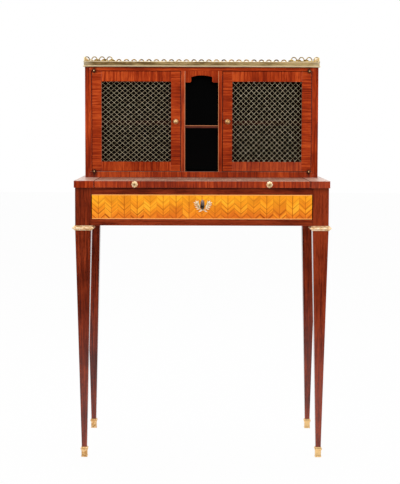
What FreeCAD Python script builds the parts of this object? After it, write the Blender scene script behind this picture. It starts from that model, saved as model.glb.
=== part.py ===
import FreeCAD, Part
import math
import os

from FreeCAD import Vector

# Bonheur du jour: a small writing table on tapered legs, with a drawer, a pull-out writing slide
# and a shallow cabinet of two grille doors and an open niche, crowned by a pierced brass gallery.
# Millimetres, +Z up, the front faces -Y. The origin is on the floor, under the middle of the box
# that holds the whole piece.

# Sizes of the table
WRITING_HEIGHT = 760.0
FRAME_WIDTH = 686.0
FRAME_DEPTH = 418.0
TOP_THICKNESS = 19.0
TOP_OVERHANG = 3.0
END_BOARD_WIDTH = 53.5
BACK_BOARD_DEPTH = 56.0
APRON_HEIGHT = 102.0
APRON_THICKNESS = 20.0
APRON_INSET = 2.0
FRONT_RAIL_DEPTH = 24.0
FRONT_RAIL_INSET = 1.5
UPPER_RAIL_HEIGHT = 17.3
LOWER_RAIL_HEIGHT = 17.0
TENON_THICKNESS = 8.0
TENON_LENGTH = 14.0
TENON_SHOULDER = 4.0

# Sizes of the legs and their mounts
LEG_SIZE = 43.0
LEG_TOE = 13.0
COLLAR_HEIGHT = 13.2
COLLAR_REACH = 8.0
COLLAR_REACH_SHARES = (0.2, 0.3, 0.5, 1.0, 1.0, 0.5, 0.42, 0.25)
COLLAR_HEIGHT_SHARES = (0.0, 0.14, 0.2, 0.44, 0.56, 0.82, 0.88, 1.0)
SABOT_HEIGHT = 28.0
SABOT_SOLE = 3.0
SABOT_FOOT = 17.2
SABOT_BODY = 15.8
SABOT_RING = 20.0
SABOT_LEVEL_SHARES = (0.0, 0.09, 0.15, 0.68, 0.74, 0.92, 1.0)

# Sizes of the writing slide
SLIDE_THICKNESS = 18.0
SLIDE_DROP = 0.4
SLIDE_SIDE_GAP = 2.0
SLIDE_INSET = 0.5
SLIDE_BACK_GAP = 1.0
SLIDE_TRAVEL = 230.0
CLEAT_HEIGHT = 8.0
CLEAT_DEPTH = 12.0
CLEAT_WIDTH = 300.0
BEARER_WIDTH = 20.0
SLIDE_KNOB_SPACING = 364.0
SLIDE_KNOB_RADIUS = 9.0
SLIDE_KNOB_REACH = 13.5
SLIDE_KNOB_PETALS = 8
PETAL_POINTS = 4
PETAL_DEPTH_SHARE = 0.22
SLIDE_KNOB_FLANGE_SHARE = 0.3
SLIDE_KNOB_RADIUS_SHARES = (0.46, 0.46, 0.7, 0.62, 0.34)
SLIDE_KNOB_REACH_SHARES = (0.0, 0.46, 0.7, 0.9, 1.0)
KNOB_SIDES = 16
KNOB_STEM_RADIUS = 2.2
KNOB_STEM_LENGTH = 11.0
KNOB_STEM_SIDES = 12

# Sizes of the drawer
DRAWER_GAP = 0.8
DRAWER_END_GAP = 2.4
DRAWER_FRONT_INSET = 0.8
DRAWER_FRONT_THICKNESS = 20.0
DRAWER_SIDE_THICKNESS = 10.0
DRAWER_BACK_THICKNESS = 10.0
DRAWER_BACK_GAP = 4.0
DRAWER_TOP_GAP = 1.2
DRAWER_BOTTOM_THICKNESS = 6.0
DRAWER_BOTTOM_RISE = 7.0
GROOVE_DEPTH = 5.0
TAIL_COUNT = 3
TAIL_LENGTH = 13.0
TAIL_WIDE_SHARE = 0.74
TAIL_NARROW_SHARE = 0.52
RUNNER_WIDTH = 15.0
DUST_BOARD_THICKNESS = 6.0
DUST_BOARD_RISE = 1.0

# Sizes of the drawer's lock and escutcheon
KEYHOLE_RISE = 35.0
KEYHOLE_RADIUS = 2.2
KEYHOLE_SLOT_WIDTH = 2.2
KEYHOLE_SLOT_LENGTH = 6.5
LOCK_WIDTH = 56.0
LOCK_HEIGHT = 44.0
LOCK_THICKNESS = 9.0
BOLT_WIDTH = 20.0
BOLT_THICKNESS = 4.5
BOLT_HEIGHT = 18.0
BOLT_TRAVEL = 7.5
BOLT_MORTISE_SPARE = 2.0
PLATE_HEIGHT = 28.0
PLATE_WIDTH = 12.0
PLATE_THICKNESS = 1.6
PLATE_SIDES = 20
SPRAY_THICKNESS = 2.4
SPRAY_REACH = 14.5
SPRAY_DROP = 14.0
SPRAY_TURN = 115.0
STEM_WIDTH = 1.8
STEM_STEPS = 6
STEM_START_SHARE = -0.22
OUTER_LEAF_LENGTH = 14.5
INNER_LEAF_LENGTH = 9.5
LEAF_WIDTH = 4.2
OUTER_LEAF_SPREAD = 38.0
INNER_LEAF_SPREAD = 22.0
LEAF_PLACE_SHARES = (0.16, 0.33, 0.5, 0.67, 0.84)
LEAF_LENGTH_SHARES = (0.0, 0.3, 0.66, 1.0, 0.66, 0.3, 0.0)
LEAF_WIDTH_SHARES = (0.14, 0.5, 0.42, 0.0, -0.42, -0.5, -0.14)

# Sizes of the cabinet
CABINET_WIDTH = 668.0
CABINET_SETBACK = 258.0
CABINET_HEIGHT = 315.0
CABINET_SIDE_THICKNESS = 18.5
CABINET_BOTTOM_THICKNESS = 16.5
CABINET_TOP_THICKNESS = 16.5
CABINET_BACK_THICKNESS = 8.0
TOP_RAIL_HEIGHT = 10.5
TOP_RAIL_DEPTH = 20.0
HOUSING_DEPTH = 5.0
NICHE_WIDTH = 95.0
PARTITION_THICKNESS = 11.5
NICHE_SHELF_RISE = 139.5
NICHE_SHELF_THICKNESS = 9.7
NICHE_SHELF_INSET = 6.0
NICHE_APRON_DROP = 33.0
NICHE_APRON_THICKNESS = 12.0
NICHE_APRON_INSET = 1.0
NICHE_EAR_WIDTH = 17.5
NICHE_EAR_ROUND = 5.0
NICHE_SPRING_DROP = 17.5
NICHE_CROWN_DROP = 12.5
SIDE_SHELF_RISE = 152.0
SIDE_SHELF_THICKNESS = 9.0
SIDE_SHELF_GAP = 2.0
STOP_WIDTH = 6.0
STOP_DEPTH = 8.0

# Sizes of the brass band and gallery
BAND_REACH = 5.0
BAND_FLAT_REACH = 3.0
BAND_CAP_REACH = 4.0
BAND_CAP_HEIGHT = 2.5
BAND_BEAD_HEIGHT = 4.5
GALLERY_HEIGHT = 13.5
GALLERY_THICKNESS = 2.2
GALLERY_FOOT = 2.0
GALLERY_PITCH = 22.3
LOOP_RADIUS = 8.4
LOOP_WALL = 2.4
LOOP_OUTER_STEPS = 10
LOOP_INNER_STEPS = 6
RETURN_LOOPS = 4
RETURN_RAMP = 9.0
RETURN_RAMP_HEIGHT = 5.0

# Sizes of the doors
DOOR_THICKNESS = 18.0
DOOR_GAP = 1.0
DOOR_STILE_WIDTH = 27.5
DOOR_TOP_RAIL = 29.5
DOOR_BOTTOM_RAIL = 27.5
DOOR_TENON_THICKNESS = 6.0
DOOR_TENON_LENGTH = 12.0
DOOR_TENON_SHOULDER = 6.0
DOOR_TENON_SETBACK = 2.5
REBATE_WIDTH = 6.0
REBATE_FRONT = 10.0
GRILLE_EDGE_CLEARANCE = 0.2
GRILLE_WIRE = 1.6
GRILLE_LAYER_GAP = 0.05
DIAMOND_WIDTH = 15.4
DIAMOND_HEIGHT = 13.5
DOOR_KNOB_RISE = 160.0
DOOR_KNOB_RADIUS = 7.6
DOOR_KNOB_REACH = 18.0
DOOR_KNOB_BASE_RADIUS = 5.2
DOOR_KNOB_BASE_HEIGHT = 1.8
DOOR_KNOB_NECK_RADIUS = 3.0
DOOR_KNOB_BANDS = 6
DOOR_KNOB_TIP_SHARE = 0.15
PIVOT_INSET = 7.0
PIVOT_FORWARD = 5.2
PIVOT_BALL_RADIUS = 4.6
PIVOT_BALL_HEIGHT = 5.6
DOME_RADIUS_SHARES = (1.0, 0.94, 0.6, 0.15)
DOME_HEIGHT_SHARES = (0.0, 0.44, 0.84, 1.0)
PIVOT_SIDES = 12
PIVOT_PIN_RADIUS = 1.8
PIVOT_PIN_LENGTH = 3.6
LEAF_PLATE_THICKNESS = 2.0
LEAF_PLATE_WIDTH = 7.0
LEAF_PLATE_LENGTH = 22.0
LEAF_PLATE_SETBACK = 3.0

# Clearances and the overrun of cuts
RUNNING_CLEARANCE = 0.3
PIN_CLEARANCE = 0.05
STEM_CLEARANCE = 0.1
OVERRUN = 2.0

# Places worked out from the sizes
FRONT_REACH = TOP_OVERHANG - SLIDE_INSET + SLIDE_KNOB_REACH
FRAME_FRONT = -(FRAME_DEPTH + COLLAR_REACH - FRONT_REACH) / 2
FRAME_BACK = FRAME_FRONT + FRAME_DEPTH
FRAME_SIDE = FRAME_WIDTH / 2
LEG_INNER = FRAME_SIDE - LEG_SIZE
LEG_FRONT_BACK = FRAME_FRONT + LEG_SIZE
LEG_REAR_FRONT = FRAME_BACK - LEG_SIZE
BOARD_BOTTOM = WRITING_HEIGHT - TOP_THICKNESS
APRON_BOTTOM = BOARD_BOTTOM - APRON_HEIGHT
COLLAR_BOTTOM = APRON_BOTTOM - COLLAR_HEIGHT
APRON_OUTER = FRAME_SIDE - APRON_INSET
APRON_INNER = APRON_OUTER - APRON_THICKNESS
BACK_APRON_BACK = FRAME_BACK - APRON_INSET
BACK_APRON_FRONT = BACK_APRON_BACK - APRON_THICKNESS
RAIL_FRONT = FRAME_FRONT + FRONT_RAIL_INSET
RAIL_BACK = RAIL_FRONT + FRONT_RAIL_DEPTH
OPENING_TOP = BOARD_BOTTOM - UPPER_RAIL_HEIGHT
OPENING_BOTTOM = APRON_BOTTOM + LOWER_RAIL_HEIGHT
TOP_SIDE = FRAME_SIDE + TOP_OVERHANG
TOP_FRONT = FRAME_FRONT - TOP_OVERHANG
TOP_BACK = FRAME_BACK + TOP_OVERHANG
BOARD_INNER = TOP_SIDE - END_BOARD_WIDTH
BACK_BOARD_FRONT = TOP_BACK - BACK_BOARD_DEPTH
SLIDE_SIDE = BOARD_INNER - SLIDE_SIDE_GAP
SLIDE_FRONT = TOP_FRONT + SLIDE_INSET
SLIDE_BACK = BACK_BOARD_FRONT - SLIDE_BACK_GAP
SLIDE_TOP = WRITING_HEIGHT - SLIDE_DROP
SLIDE_BOTTOM = SLIDE_TOP - SLIDE_THICKNESS
DRAWER_SIDE = LEG_INNER - DRAWER_END_GAP
DRAWER_FRONT = FRAME_FRONT + DRAWER_FRONT_INSET
DRAWER_FRONT_BACK = DRAWER_FRONT + DRAWER_FRONT_THICKNESS
DRAWER_BACK = BACK_APRON_FRONT - DRAWER_BACK_GAP
DRAWER_FRONT_BOTTOM = OPENING_BOTTOM + DRAWER_GAP
DRAWER_FRONT_TOP = OPENING_TOP - DRAWER_GAP
DRAWER_SIDE_BOTTOM = OPENING_BOTTOM + RUNNING_CLEARANCE
DRAWER_SIDE_TOP = DRAWER_FRONT_TOP - DRAWER_TOP_GAP
DRAWER_SIDE_INNER = DRAWER_SIDE - DRAWER_SIDE_THICKNESS
DRAWER_BOTTOM_UNDER = DRAWER_SIDE_BOTTOM + DRAWER_BOTTOM_RISE
DRAWER_BOTTOM_OVER = DRAWER_BOTTOM_UNDER + DRAWER_BOTTOM_THICKNESS
GUIDE_INNER = DRAWER_SIDE + RUNNING_CLEARANCE
DUST_UNDER = OPENING_TOP + DUST_BOARD_RISE
DUST_OVER = DUST_UNDER + DUST_BOARD_THICKNESS
KEYHOLE_LEVEL = DRAWER_FRONT_BOTTOM + KEYHOLE_RISE
LOCK_FRONT = DRAWER_FRONT_BACK - LOCK_THICKNESS
BOLT_PLANE = DRAWER_FRONT_BACK - LOCK_THICKNESS / 2
BOLT_TOP = DRAWER_FRONT_TOP - RUNNING_CLEARANCE
CABINET_FRONT = TOP_FRONT + CABINET_SETBACK
CABINET_BACK = FRAME_BACK
CABINET_SIDE = CABINET_WIDTH / 2
CABINET_INNER = CABINET_SIDE - CABINET_SIDE_THICKNESS
BACK_PANEL_FRONT = CABINET_BACK - CABINET_BACK_THICKNESS
CABINET_FLOOR = WRITING_HEIGHT + CABINET_BOTTOM_THICKNESS
CABINET_HEAD = WRITING_HEIGHT + CABINET_HEIGHT
RAIL_UNDER = CABINET_HEAD - TOP_RAIL_HEIGHT
CABINET_CROWN = CABINET_HEAD + CABINET_TOP_THICKNESS
NICHE_SIDE = NICHE_WIDTH / 2
PARTITION_OUTER = NICHE_SIDE + PARTITION_THICKNESS
DOOR_BACK = CABINET_FRONT + DOOR_THICKNESS
DOOR_OUTER = CABINET_INNER - DOOR_GAP
DOOR_INNER = PARTITION_OUTER + DOOR_GAP + RUNNING_CLEARANCE
DOOR_BOTTOM = CABINET_FLOOR + DOOR_GAP
DOOR_TOP = RAIL_UNDER - DOOR_GAP
OPENING_OUTER = DOOR_OUTER - DOOR_STILE_WIDTH
OPENING_INNER = DOOR_INNER + DOOR_STILE_WIDTH
GRILLE_BOTTOM = DOOR_BOTTOM + DOOR_BOTTOM_RAIL
GRILLE_TOP = DOOR_TOP - DOOR_TOP_RAIL
GRILLE_FRONT = CABINET_FRONT + REBATE_FRONT
DOOR_KNOB_PLACE = DOOR_INNER + DOOR_STILE_WIDTH / 2
DOOR_KNOB_LEVEL = WRITING_HEIGHT + DOOR_KNOB_RISE
PIVOT_X = DOOR_OUTER - PIVOT_INSET
PIVOT_Y = CABINET_FRONT - PIVOT_FORWARD
SHELF_FRONT = DOOR_BACK + SIDE_SHELF_GAP

LEFT = -1
RIGHT = 1
FRONT = -1
REAR = 1
SIDE_NAMES = {LEFT: "left", RIGHT: "right"}
END_NAMES = {FRONT: "front", REAR: "rear"}


# Plain tools for solids
def box(xs, ys, zs):
    """A box between two places along each axis, in either order."""
    low = Vector(min(xs), min(ys), min(zs))
    return Part.makeBox(max(xs) - min(xs), max(ys) - min(ys), max(zs) - min(zs), low)


def both(place):
    """The span from a place to its mirror image."""
    return (-place, place)


def sided(side, *places):
    """Places on the left or the right, given as on the right."""
    return tuple(side * place for place in places)


def polygon_face(points):
    """A flat face inside a ring of points."""
    return Part.Face(Part.makePolygon(points + points[:1]))


def square(x, y, z, width):
    """The corners of a level square round a point."""
    half = width / 2
    corners = ((-half, -half), (half, -half), (half, half), (-half, half))
    return [Vector(x + dx, y + dy, z) for dx, dy in corners]


def stacked(rings):
    """A solid with flat sides through a stack of rings with the same number of corners."""
    faces = [polygon_face(rings[0]), polygon_face(rings[-1])]
    for low, high in zip(rings, rings[1:]):
        for a, b, c, d in zip(low, low[1:] + low[:1], high[1:] + high[:1], high):
            faces.append(polygon_face([a, b, c, d]))
    shell = Part.makeShell(faces)
    shell.sewShape()
    return Part.makeSolid(shell)


def square_stack(x, y, levels, widths):
    """A square moulding: level squares of several widths round an upright axis."""
    return stacked([square(x, y, z, width) for z, width in zip(levels, widths)])


def turned(profile, base, axis, sides):
    """A turned solid with flat sides: radius and length pairs, laid along an axis from a base point."""
    spin = FreeCAD.Rotation(Vector(0, 0, 1), axis)
    turns = [2 * math.pi * (index + 1 / 2) / sides for index in range(sides)]
    rings = []
    for radius, length in profile:
        corners = [Vector(radius * math.cos(turn), radius * math.sin(turn), length) for turn in turns]
        rings.append([base + spin.multVec(corner) for corner in corners])
    return stacked(rings)


def panel_xz(edges, front, back):
    """A plate cut from an outline in the X and Z directions."""
    face = Part.Face(Part.Wire(Part.__sortEdges__(edges)))
    face.translate(Vector(0, front, 0))
    return face.extrude(Vector(0, back - front, 0))


def outline_edges(points):
    """Straight edges round a list of X and Z places."""
    return [line_edge(a, b) for a, b in zip(points, points[1:] + points[:1])]


def line_edge(start, end):
    """A straight edge between two X and Z places."""
    return Part.makeLine(*[Vector(x, 0, z) for x, z in (start, end)])


def arc_edge(start, middle, end):
    """An arc through three X and Z places."""
    return Part.Arc(*[Vector(x, 0, z) for x, z in (start, middle, end)]).toShape()


def merged(first, others):
    """One solid from pieces that overlap or touch."""
    return first.fuse(others).removeSplitter()


def save(name, *shapes):
    """Write one piece, or a group of like pieces, under its name."""
    solids = [solid for shape in shapes for solid in shape.Solids]
    shape = solids[0] if len(solids) == 1 else Part.makeCompound(solids)
    shape.exportStep(os.path.join("parts", name + ".step"))


# The table's rails and aprons
def side_apron(side):
    """An apron between the front and rear legs, with a tenon at each end."""
    middle = (APRON_OUTER + APRON_INNER) / 2
    board = box(sided(side, APRON_INNER, APRON_OUTER), (LEG_FRONT_BACK, LEG_REAR_FRONT),
                (APRON_BOTTOM, BOARD_BOTTOM))
    tenon = box(sided(side, middle - TENON_THICKNESS / 2, middle + TENON_THICKNESS / 2),
                (LEG_FRONT_BACK - TENON_LENGTH, LEG_REAR_FRONT + TENON_LENGTH),
                (APRON_BOTTOM + TENON_SHOULDER, BOARD_BOTTOM - TENON_SHOULDER))
    return merged(board, [tenon])


def cross_rail(front, back, bottom, top):
    """A rail between the left and right legs, with a tenon at each end."""
    middle = (front + back) / 2
    board = box(both(LEG_INNER), (front, back), (bottom, top))
    tenon = box(both(LEG_INNER + TENON_LENGTH),
                (middle - TENON_THICKNESS / 2, middle + TENON_THICKNESS / 2),
                (bottom + TENON_SHOULDER, top - TENON_SHOULDER))
    return merged(board, [tenon])


def upper_front_rail():
    """The rail above the drawer, with a mortise for the lock's bolt."""
    rail = cross_rail(RAIL_FRONT, RAIL_BACK, OPENING_TOP, BOARD_BOTTOM)
    half_width = BOLT_WIDTH / 2 + BOLT_MORTISE_SPARE
    half_depth = BOLT_THICKNESS / 2 + BOLT_MORTISE_SPARE
    mortise = box(both(half_width), (BOLT_PLANE - half_depth, BOLT_PLANE + half_depth),
                  (OPENING_TOP - OVERRUN, BOLT_TOP + BOLT_TRAVEL + BOLT_MORTISE_SPARE))
    return rail.cut(mortise)


# The legs with their collars and sabots
def leg_centre(side, end):
    """The axis of a leg."""
    x = side * (FRAME_SIDE - LEG_SIZE / 2)
    middle = (FRAME_FRONT + FRAME_BACK) / 2
    return x, middle + end * (FRAME_DEPTH - LEG_SIZE) / 2


def leg_blank(side, end):
    """A leg before its mortises: square above the collar, tapered below it."""
    x, y = leg_centre(side, end)
    return square_stack(x, y, (SABOT_SOLE, COLLAR_BOTTOM, BOARD_BOTTOM), (LEG_TOE, LEG_SIZE, LEG_SIZE))


def collar(side, end):
    """A moulded brass ring round the square of a leg."""
    x, y = leg_centre(side, end)
    levels = [COLLAR_BOTTOM + share * COLLAR_HEIGHT for share in COLLAR_HEIGHT_SHARES]
    widths = [LEG_SIZE + 2 * share * COLLAR_REACH for share in COLLAR_REACH_SHARES]
    return square_stack(x, y, levels, widths).cut(leg_blank(side, end))


def sabot(side, end):
    """A brass shoe that holds the toe of a leg."""
    x, y = leg_centre(side, end)
    levels = [share * SABOT_HEIGHT for share in SABOT_LEVEL_SHARES]
    widths = (SABOT_FOOT, SABOT_FOOT, SABOT_BODY, SABOT_BODY, SABOT_RING, SABOT_RING, SABOT_BODY)
    return square_stack(x, y, levels, widths).cut(leg_blank(side, end))


# What carries the drawer and the slide
def drawer_runner(side):
    """A strip under one side of the drawer, level with the lower front rail."""
    return box(sided(side, GUIDE_INNER - RUNNER_WIDTH, GUIDE_INNER), (RAIL_BACK, BACK_APRON_FRONT),
               (APRON_BOTTOM, OPENING_BOTTOM))


def drawer_guide(side):
    """A block that fills the room between an apron and the drawer's side."""
    return box(sided(side, GUIDE_INNER, APRON_INNER), (LEG_FRONT_BACK, LEG_REAR_FRONT),
               (APRON_BOTTOM, DUST_UNDER))


def dust_board():
    """The thin board over the drawer, notched round the legs."""
    wide = box(both(APRON_INNER), (LEG_FRONT_BACK, LEG_REAR_FRONT), (DUST_UNDER, DUST_OVER))
    long = box(both(LEG_INNER), (RAIL_BACK, BACK_APRON_FRONT), (DUST_UNDER, DUST_OVER))
    return merged(wide, [long])


def slide_bearer(side):
    """A strip on the dust board that carries one side of the slide."""
    return box(sided(side, BOARD_INNER - BEARER_WIDTH, BOARD_INNER), (RAIL_BACK, SLIDE_BACK),
               (DUST_OVER, SLIDE_BOTTOM - RUNNING_CLEARANCE))


# The top boards and the writing slide
def end_board(side):
    """A fixed board of the top, from front to back."""
    return box(sided(side, BOARD_INNER, TOP_SIDE), (TOP_FRONT, TOP_BACK),
               (BOARD_BOTTOM, WRITING_HEIGHT))


def back_board():
    """The fixed board of the top behind the slide."""
    return box(both(BOARD_INNER), (BACK_BOARD_FRONT, TOP_BACK), (BOARD_BOTTOM, WRITING_HEIGHT))


def slide_board():
    """The pull-out board, with a cleat that meets the front rail at full travel."""
    board = box(both(SLIDE_SIDE), (SLIDE_FRONT, SLIDE_BACK), (SLIDE_BOTTOM, SLIDE_TOP))
    cleat_front = RAIL_BACK + SLIDE_TRAVEL + RUNNING_CLEARANCE
    cleat = box(both(CLEAT_WIDTH / 2), (cleat_front, cleat_front + CLEAT_DEPTH),
                (SLIDE_BOTTOM - CLEAT_HEIGHT, SLIDE_BOTTOM))
    holes = [stem_hole(slide_knob_base(side)) for side in (LEFT, RIGHT)]
    return merged(board, [cleat]).cut(holes)


def slide_knob_base(side):
    """Where a slide knob meets the front edge of the slide."""
    return Vector(side * SLIDE_KNOB_SPACING / 2, SLIDE_FRONT, (SLIDE_BOTTOM + SLIDE_TOP) / 2)


def stem_hole(base):
    """A hole for the stem of a knob whose base is at a point."""
    start = base - Vector(0, OVERRUN, 0)
    depth = OVERRUN + KNOB_STEM_LENGTH + STEM_CLEARANCE
    radius = KNOB_STEM_RADIUS + STEM_CLEARANCE
    return turned([(radius, 0), (radius, depth)], start, Vector(0, 1, 0), KNOB_STEM_SIDES)


def knob_stem(base):
    """The stem of a knob, from its base into the wood."""
    profile = [(KNOB_STEM_RADIUS, 0), (KNOB_STEM_RADIUS, KNOB_STEM_LENGTH)]
    return turned(profile, base, Vector(0, 1, 0), KNOB_STEM_SIDES)


def slide_knob(side):
    """A rosette: a plate with lobed petals, a domed boss and a stem."""
    base = slide_knob_base(side)
    lengths = [share * SLIDE_KNOB_REACH for share in SLIDE_KNOB_REACH_SHARES]
    radii = [share * SLIDE_KNOB_RADIUS for share in SLIDE_KNOB_RADIUS_SHARES]
    boss = turned(list(zip(radii, lengths)), base, Vector(0, -1, 0), KNOB_SIDES)
    count = SLIDE_KNOB_PETALS * PETAL_POINTS
    outline = []
    for index in range(count):
        turn = 2 * math.pi * index / count
        lobe = abs(math.cos(turn * SLIDE_KNOB_PETALS / 2))
        reach = SLIDE_KNOB_RADIUS * (1 - PETAL_DEPTH_SHARE * (1 - lobe))
        outline.append((base.x + reach * math.cos(turn), base.z + reach * math.sin(turn)))
    flange = SLIDE_KNOB_FLANGE_SHARE * SLIDE_KNOB_REACH
    petals = panel_xz(outline_edges(outline), base.y - flange, base.y)
    return merged(boss, [petals, knob_stem(base)])


# The drawer
def drawer_side(side):
    """A drawer side whose front end is cut into dovetails."""
    shoulder = DRAWER_FRONT_BACK
    tip = shoulder - TAIL_LENGTH
    pitch = (DRAWER_SIDE_TOP - DRAWER_SIDE_BOTTOM) / TAIL_COUNT
    points = [(DRAWER_BACK, DRAWER_SIDE_TOP), (DRAWER_BACK, DRAWER_SIDE_BOTTOM),
              (shoulder, DRAWER_SIDE_BOTTOM)]
    for index in range(TAIL_COUNT):
        middle = DRAWER_SIDE_BOTTOM + (index + 1 / 2) * pitch
        narrow = TAIL_NARROW_SHARE * pitch / 2
        wide = TAIL_WIDE_SHARE * pitch / 2
        points += [(shoulder, middle - narrow), (tip, middle - wide),
                   (tip, middle + wide), (shoulder, middle + narrow)]
    points.append((shoulder, DRAWER_SIDE_TOP))
    face = polygon_face([Vector(side * DRAWER_SIDE, y, z) for y, z in points])
    board = face.extrude(Vector(-side * DRAWER_SIDE_THICKNESS, 0, 0))
    return board.cut([drawer_bottom(), drawer_back()])


def drawer_back():
    """The back of the drawer, housed in both sides above the bottom."""
    return box(both(DRAWER_SIDE_INNER + GROOVE_DEPTH),
               (DRAWER_BACK - 2 * DRAWER_BACK_THICKNESS, DRAWER_BACK - DRAWER_BACK_THICKNESS),
               (DRAWER_BOTTOM_OVER, DRAWER_SIDE_TOP))


def drawer_bottom():
    """The bottom panel, held in grooves of the front and the sides."""
    return box(both(DRAWER_SIDE_INNER + GROOVE_DEPTH),
               (DRAWER_FRONT_BACK - GROOVE_DEPTH, DRAWER_BACK - DRAWER_BACK_THICKNESS),
               (DRAWER_BOTTOM_UNDER, DRAWER_BOTTOM_OVER))


def keyhole(front, back):
    """A round and slotted keyhole through everything between two planes."""
    bore = Part.makeCylinder(KEYHOLE_RADIUS, back - front, Vector(0, front, KEYHOLE_LEVEL),
                             Vector(0, 1, 0))
    slot = box(both(KEYHOLE_SLOT_WIDTH / 2), (front, back),
               (KEYHOLE_LEVEL - KEYHOLE_SLOT_LENGTH, KEYHOLE_LEVEL))
    return bore.fuse(slot)


def drawer_front():
    """The front of the drawer, with sockets, a groove, the lock's recess and the keyhole."""
    board = box(both(DRAWER_SIDE), (DRAWER_FRONT, DRAWER_FRONT_BACK),
                (DRAWER_FRONT_BOTTOM, DRAWER_FRONT_TOP))
    lock_room = box(both(LOCK_WIDTH / 2), (LOCK_FRONT, DRAWER_FRONT_BACK + OVERRUN),
                    (DRAWER_FRONT_TOP - LOCK_HEIGHT, DRAWER_FRONT_TOP + OVERRUN))
    cuts = [drawer_side(LEFT), drawer_side(RIGHT), drawer_bottom(), lock_room,
            keyhole(DRAWER_FRONT - OVERRUN, LOCK_FRONT + OVERRUN)]
    return board.cut(cuts)


def lock_case():
    """The lock's case, with the slot that guides its bolt and its own keyhole."""
    case = box(both(LOCK_WIDTH / 2), (LOCK_FRONT, DRAWER_FRONT_BACK),
               (DRAWER_FRONT_TOP - LOCK_HEIGHT, DRAWER_FRONT_TOP))
    half_width = BOLT_WIDTH / 2 + RUNNING_CLEARANCE
    half_depth = BOLT_THICKNESS / 2 + RUNNING_CLEARANCE
    slot = box(both(half_width), (BOLT_PLANE - half_depth, BOLT_PLANE + half_depth),
               (BOLT_TOP - BOLT_HEIGHT - RUNNING_CLEARANCE, DRAWER_FRONT_TOP + OVERRUN))
    return case.cut([slot, keyhole(LOCK_FRONT - OVERRUN, BOLT_PLANE)])


def lock_bolt():
    """The bolt, drawn down flush with the top of the drawer front."""
    return box(both(BOLT_WIDTH / 2),
               (BOLT_PLANE - BOLT_THICKNESS / 2, BOLT_PLANE + BOLT_THICKNESS / 2),
               (BOLT_TOP - BOLT_HEIGHT, BOLT_TOP))


def leaf(place, turn, length):
    """One pointed leaf, from its stalk at a place, turned from the X direction."""
    x, z = place
    points = []
    for share, width in zip(LEAF_LENGTH_SHARES, LEAF_WIDTH_SHARES):
        along = share * length
        across = width * LEAF_WIDTH
        points.append((x + along * math.cos(turn) - across * math.sin(turn),
                       z + along * math.sin(turn) + across * math.cos(turn)))
    return panel_xz(outline_edges(points), DRAWER_FRONT - SPRAY_THICKNESS, DRAWER_FRONT)


def spray_point(side, share, widening):
    """A place on a laurel stem, which follows part of an ellipse round the keyhole."""
    turn = math.radians(SPRAY_TURN * share)
    return (side * (SPRAY_REACH + widening) * math.sin(turn),
            KEYHOLE_LEVEL - (SPRAY_DROP + widening) * math.cos(turn))


def spray_heading(side, share):
    """The direction of a laurel stem at a place along it."""
    turn = math.radians(SPRAY_TURN * share)
    return math.atan2(SPRAY_DROP * math.sin(turn), side * SPRAY_REACH * math.cos(turn))


def laurel_branch(side):
    """A stem with leaves in pairs and one at its tip."""
    half = STEM_WIDTH / 2
    run = 1 - STEM_START_SHARE
    places = [STEM_START_SHARE + run * step / STEM_STEPS for step in range(STEM_STEPS + 1)]
    outline = [spray_point(side, place, -half) for place in places]
    outline += [spray_point(side, place, half) for place in reversed(places)]
    pieces = [panel_xz(outline_edges(outline), DRAWER_FRONT - PLATE_THICKNESS, DRAWER_FRONT)]
    outer_turn = side * math.radians(OUTER_LEAF_SPREAD)
    inner_turn = side * math.radians(INNER_LEAF_SPREAD)
    for share in LEAF_PLACE_SHARES:
        place = spray_point(side, share, 0)
        heading = spray_heading(side, share)
        pieces.append(leaf(place, heading - outer_turn, OUTER_LEAF_LENGTH))
        pieces.append(leaf(place, heading + inner_turn, INNER_LEAF_LENGTH))
    pieces.append(leaf(spray_point(side, 1, 0), spray_heading(side, 1), OUTER_LEAF_LENGTH))
    return pieces


def escutcheon():
    """An oval keyhole plate between two laurel branches that cross below it."""
    turns = [2 * math.pi * index / PLATE_SIDES for index in range(PLATE_SIDES)]
    oval = [(PLATE_WIDTH / 2 * math.cos(turn), KEYHOLE_LEVEL + PLATE_HEIGHT / 2 * math.sin(turn))
            for turn in turns]
    plate = panel_xz(outline_edges(oval), DRAWER_FRONT - PLATE_THICKNESS, DRAWER_FRONT)
    whole = merged(plate, laurel_branch(LEFT) + laurel_branch(RIGHT))
    return whole.cut(keyhole(DRAWER_FRONT - SPRAY_THICKNESS - OVERRUN, DRAWER_FRONT + OVERRUN))


# The cabinet
def cabinet_back():
    """The back panel, let into the sides from behind."""
    return box(both(CABINET_INNER + HOUSING_DEPTH), (BACK_PANEL_FRONT, CABINET_BACK),
               (WRITING_HEIGHT, CABINET_HEAD))


def cabinet_bottom():
    """The bottom board, housed in the sides; its front edge shows below the doors."""
    return box(both(CABINET_INNER + HOUSING_DEPTH), (CABINET_FRONT, BACK_PANEL_FRONT),
               (WRITING_HEIGHT, CABINET_FLOOR)).cut(carcass_leaves())


def cabinet_top_rail():
    """The rail over the doors and the niche."""
    return box(both(CABINET_INNER + HOUSING_DEPTH), (CABINET_FRONT, CABINET_FRONT + TOP_RAIL_DEPTH),
               (RAIL_UNDER, CABINET_HEAD)).cut(carcass_leaves())


def cabinet_top():
    """The top board, whose edge the brass band covers."""
    return box(both(CABINET_SIDE), (CABINET_FRONT, CABINET_BACK), (CABINET_HEAD, CABINET_CROWN))


def side_shelf(side):
    """The shelf behind a grille, housed in the side and the partition."""
    level = WRITING_HEIGHT + SIDE_SHELF_RISE
    return box(sided(side, PARTITION_OUTER - HOUSING_DEPTH, CABINET_INNER + HOUSING_DEPTH),
               (SHELF_FRONT, BACK_PANEL_FRONT), (level, level + SIDE_SHELF_THICKNESS))


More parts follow.
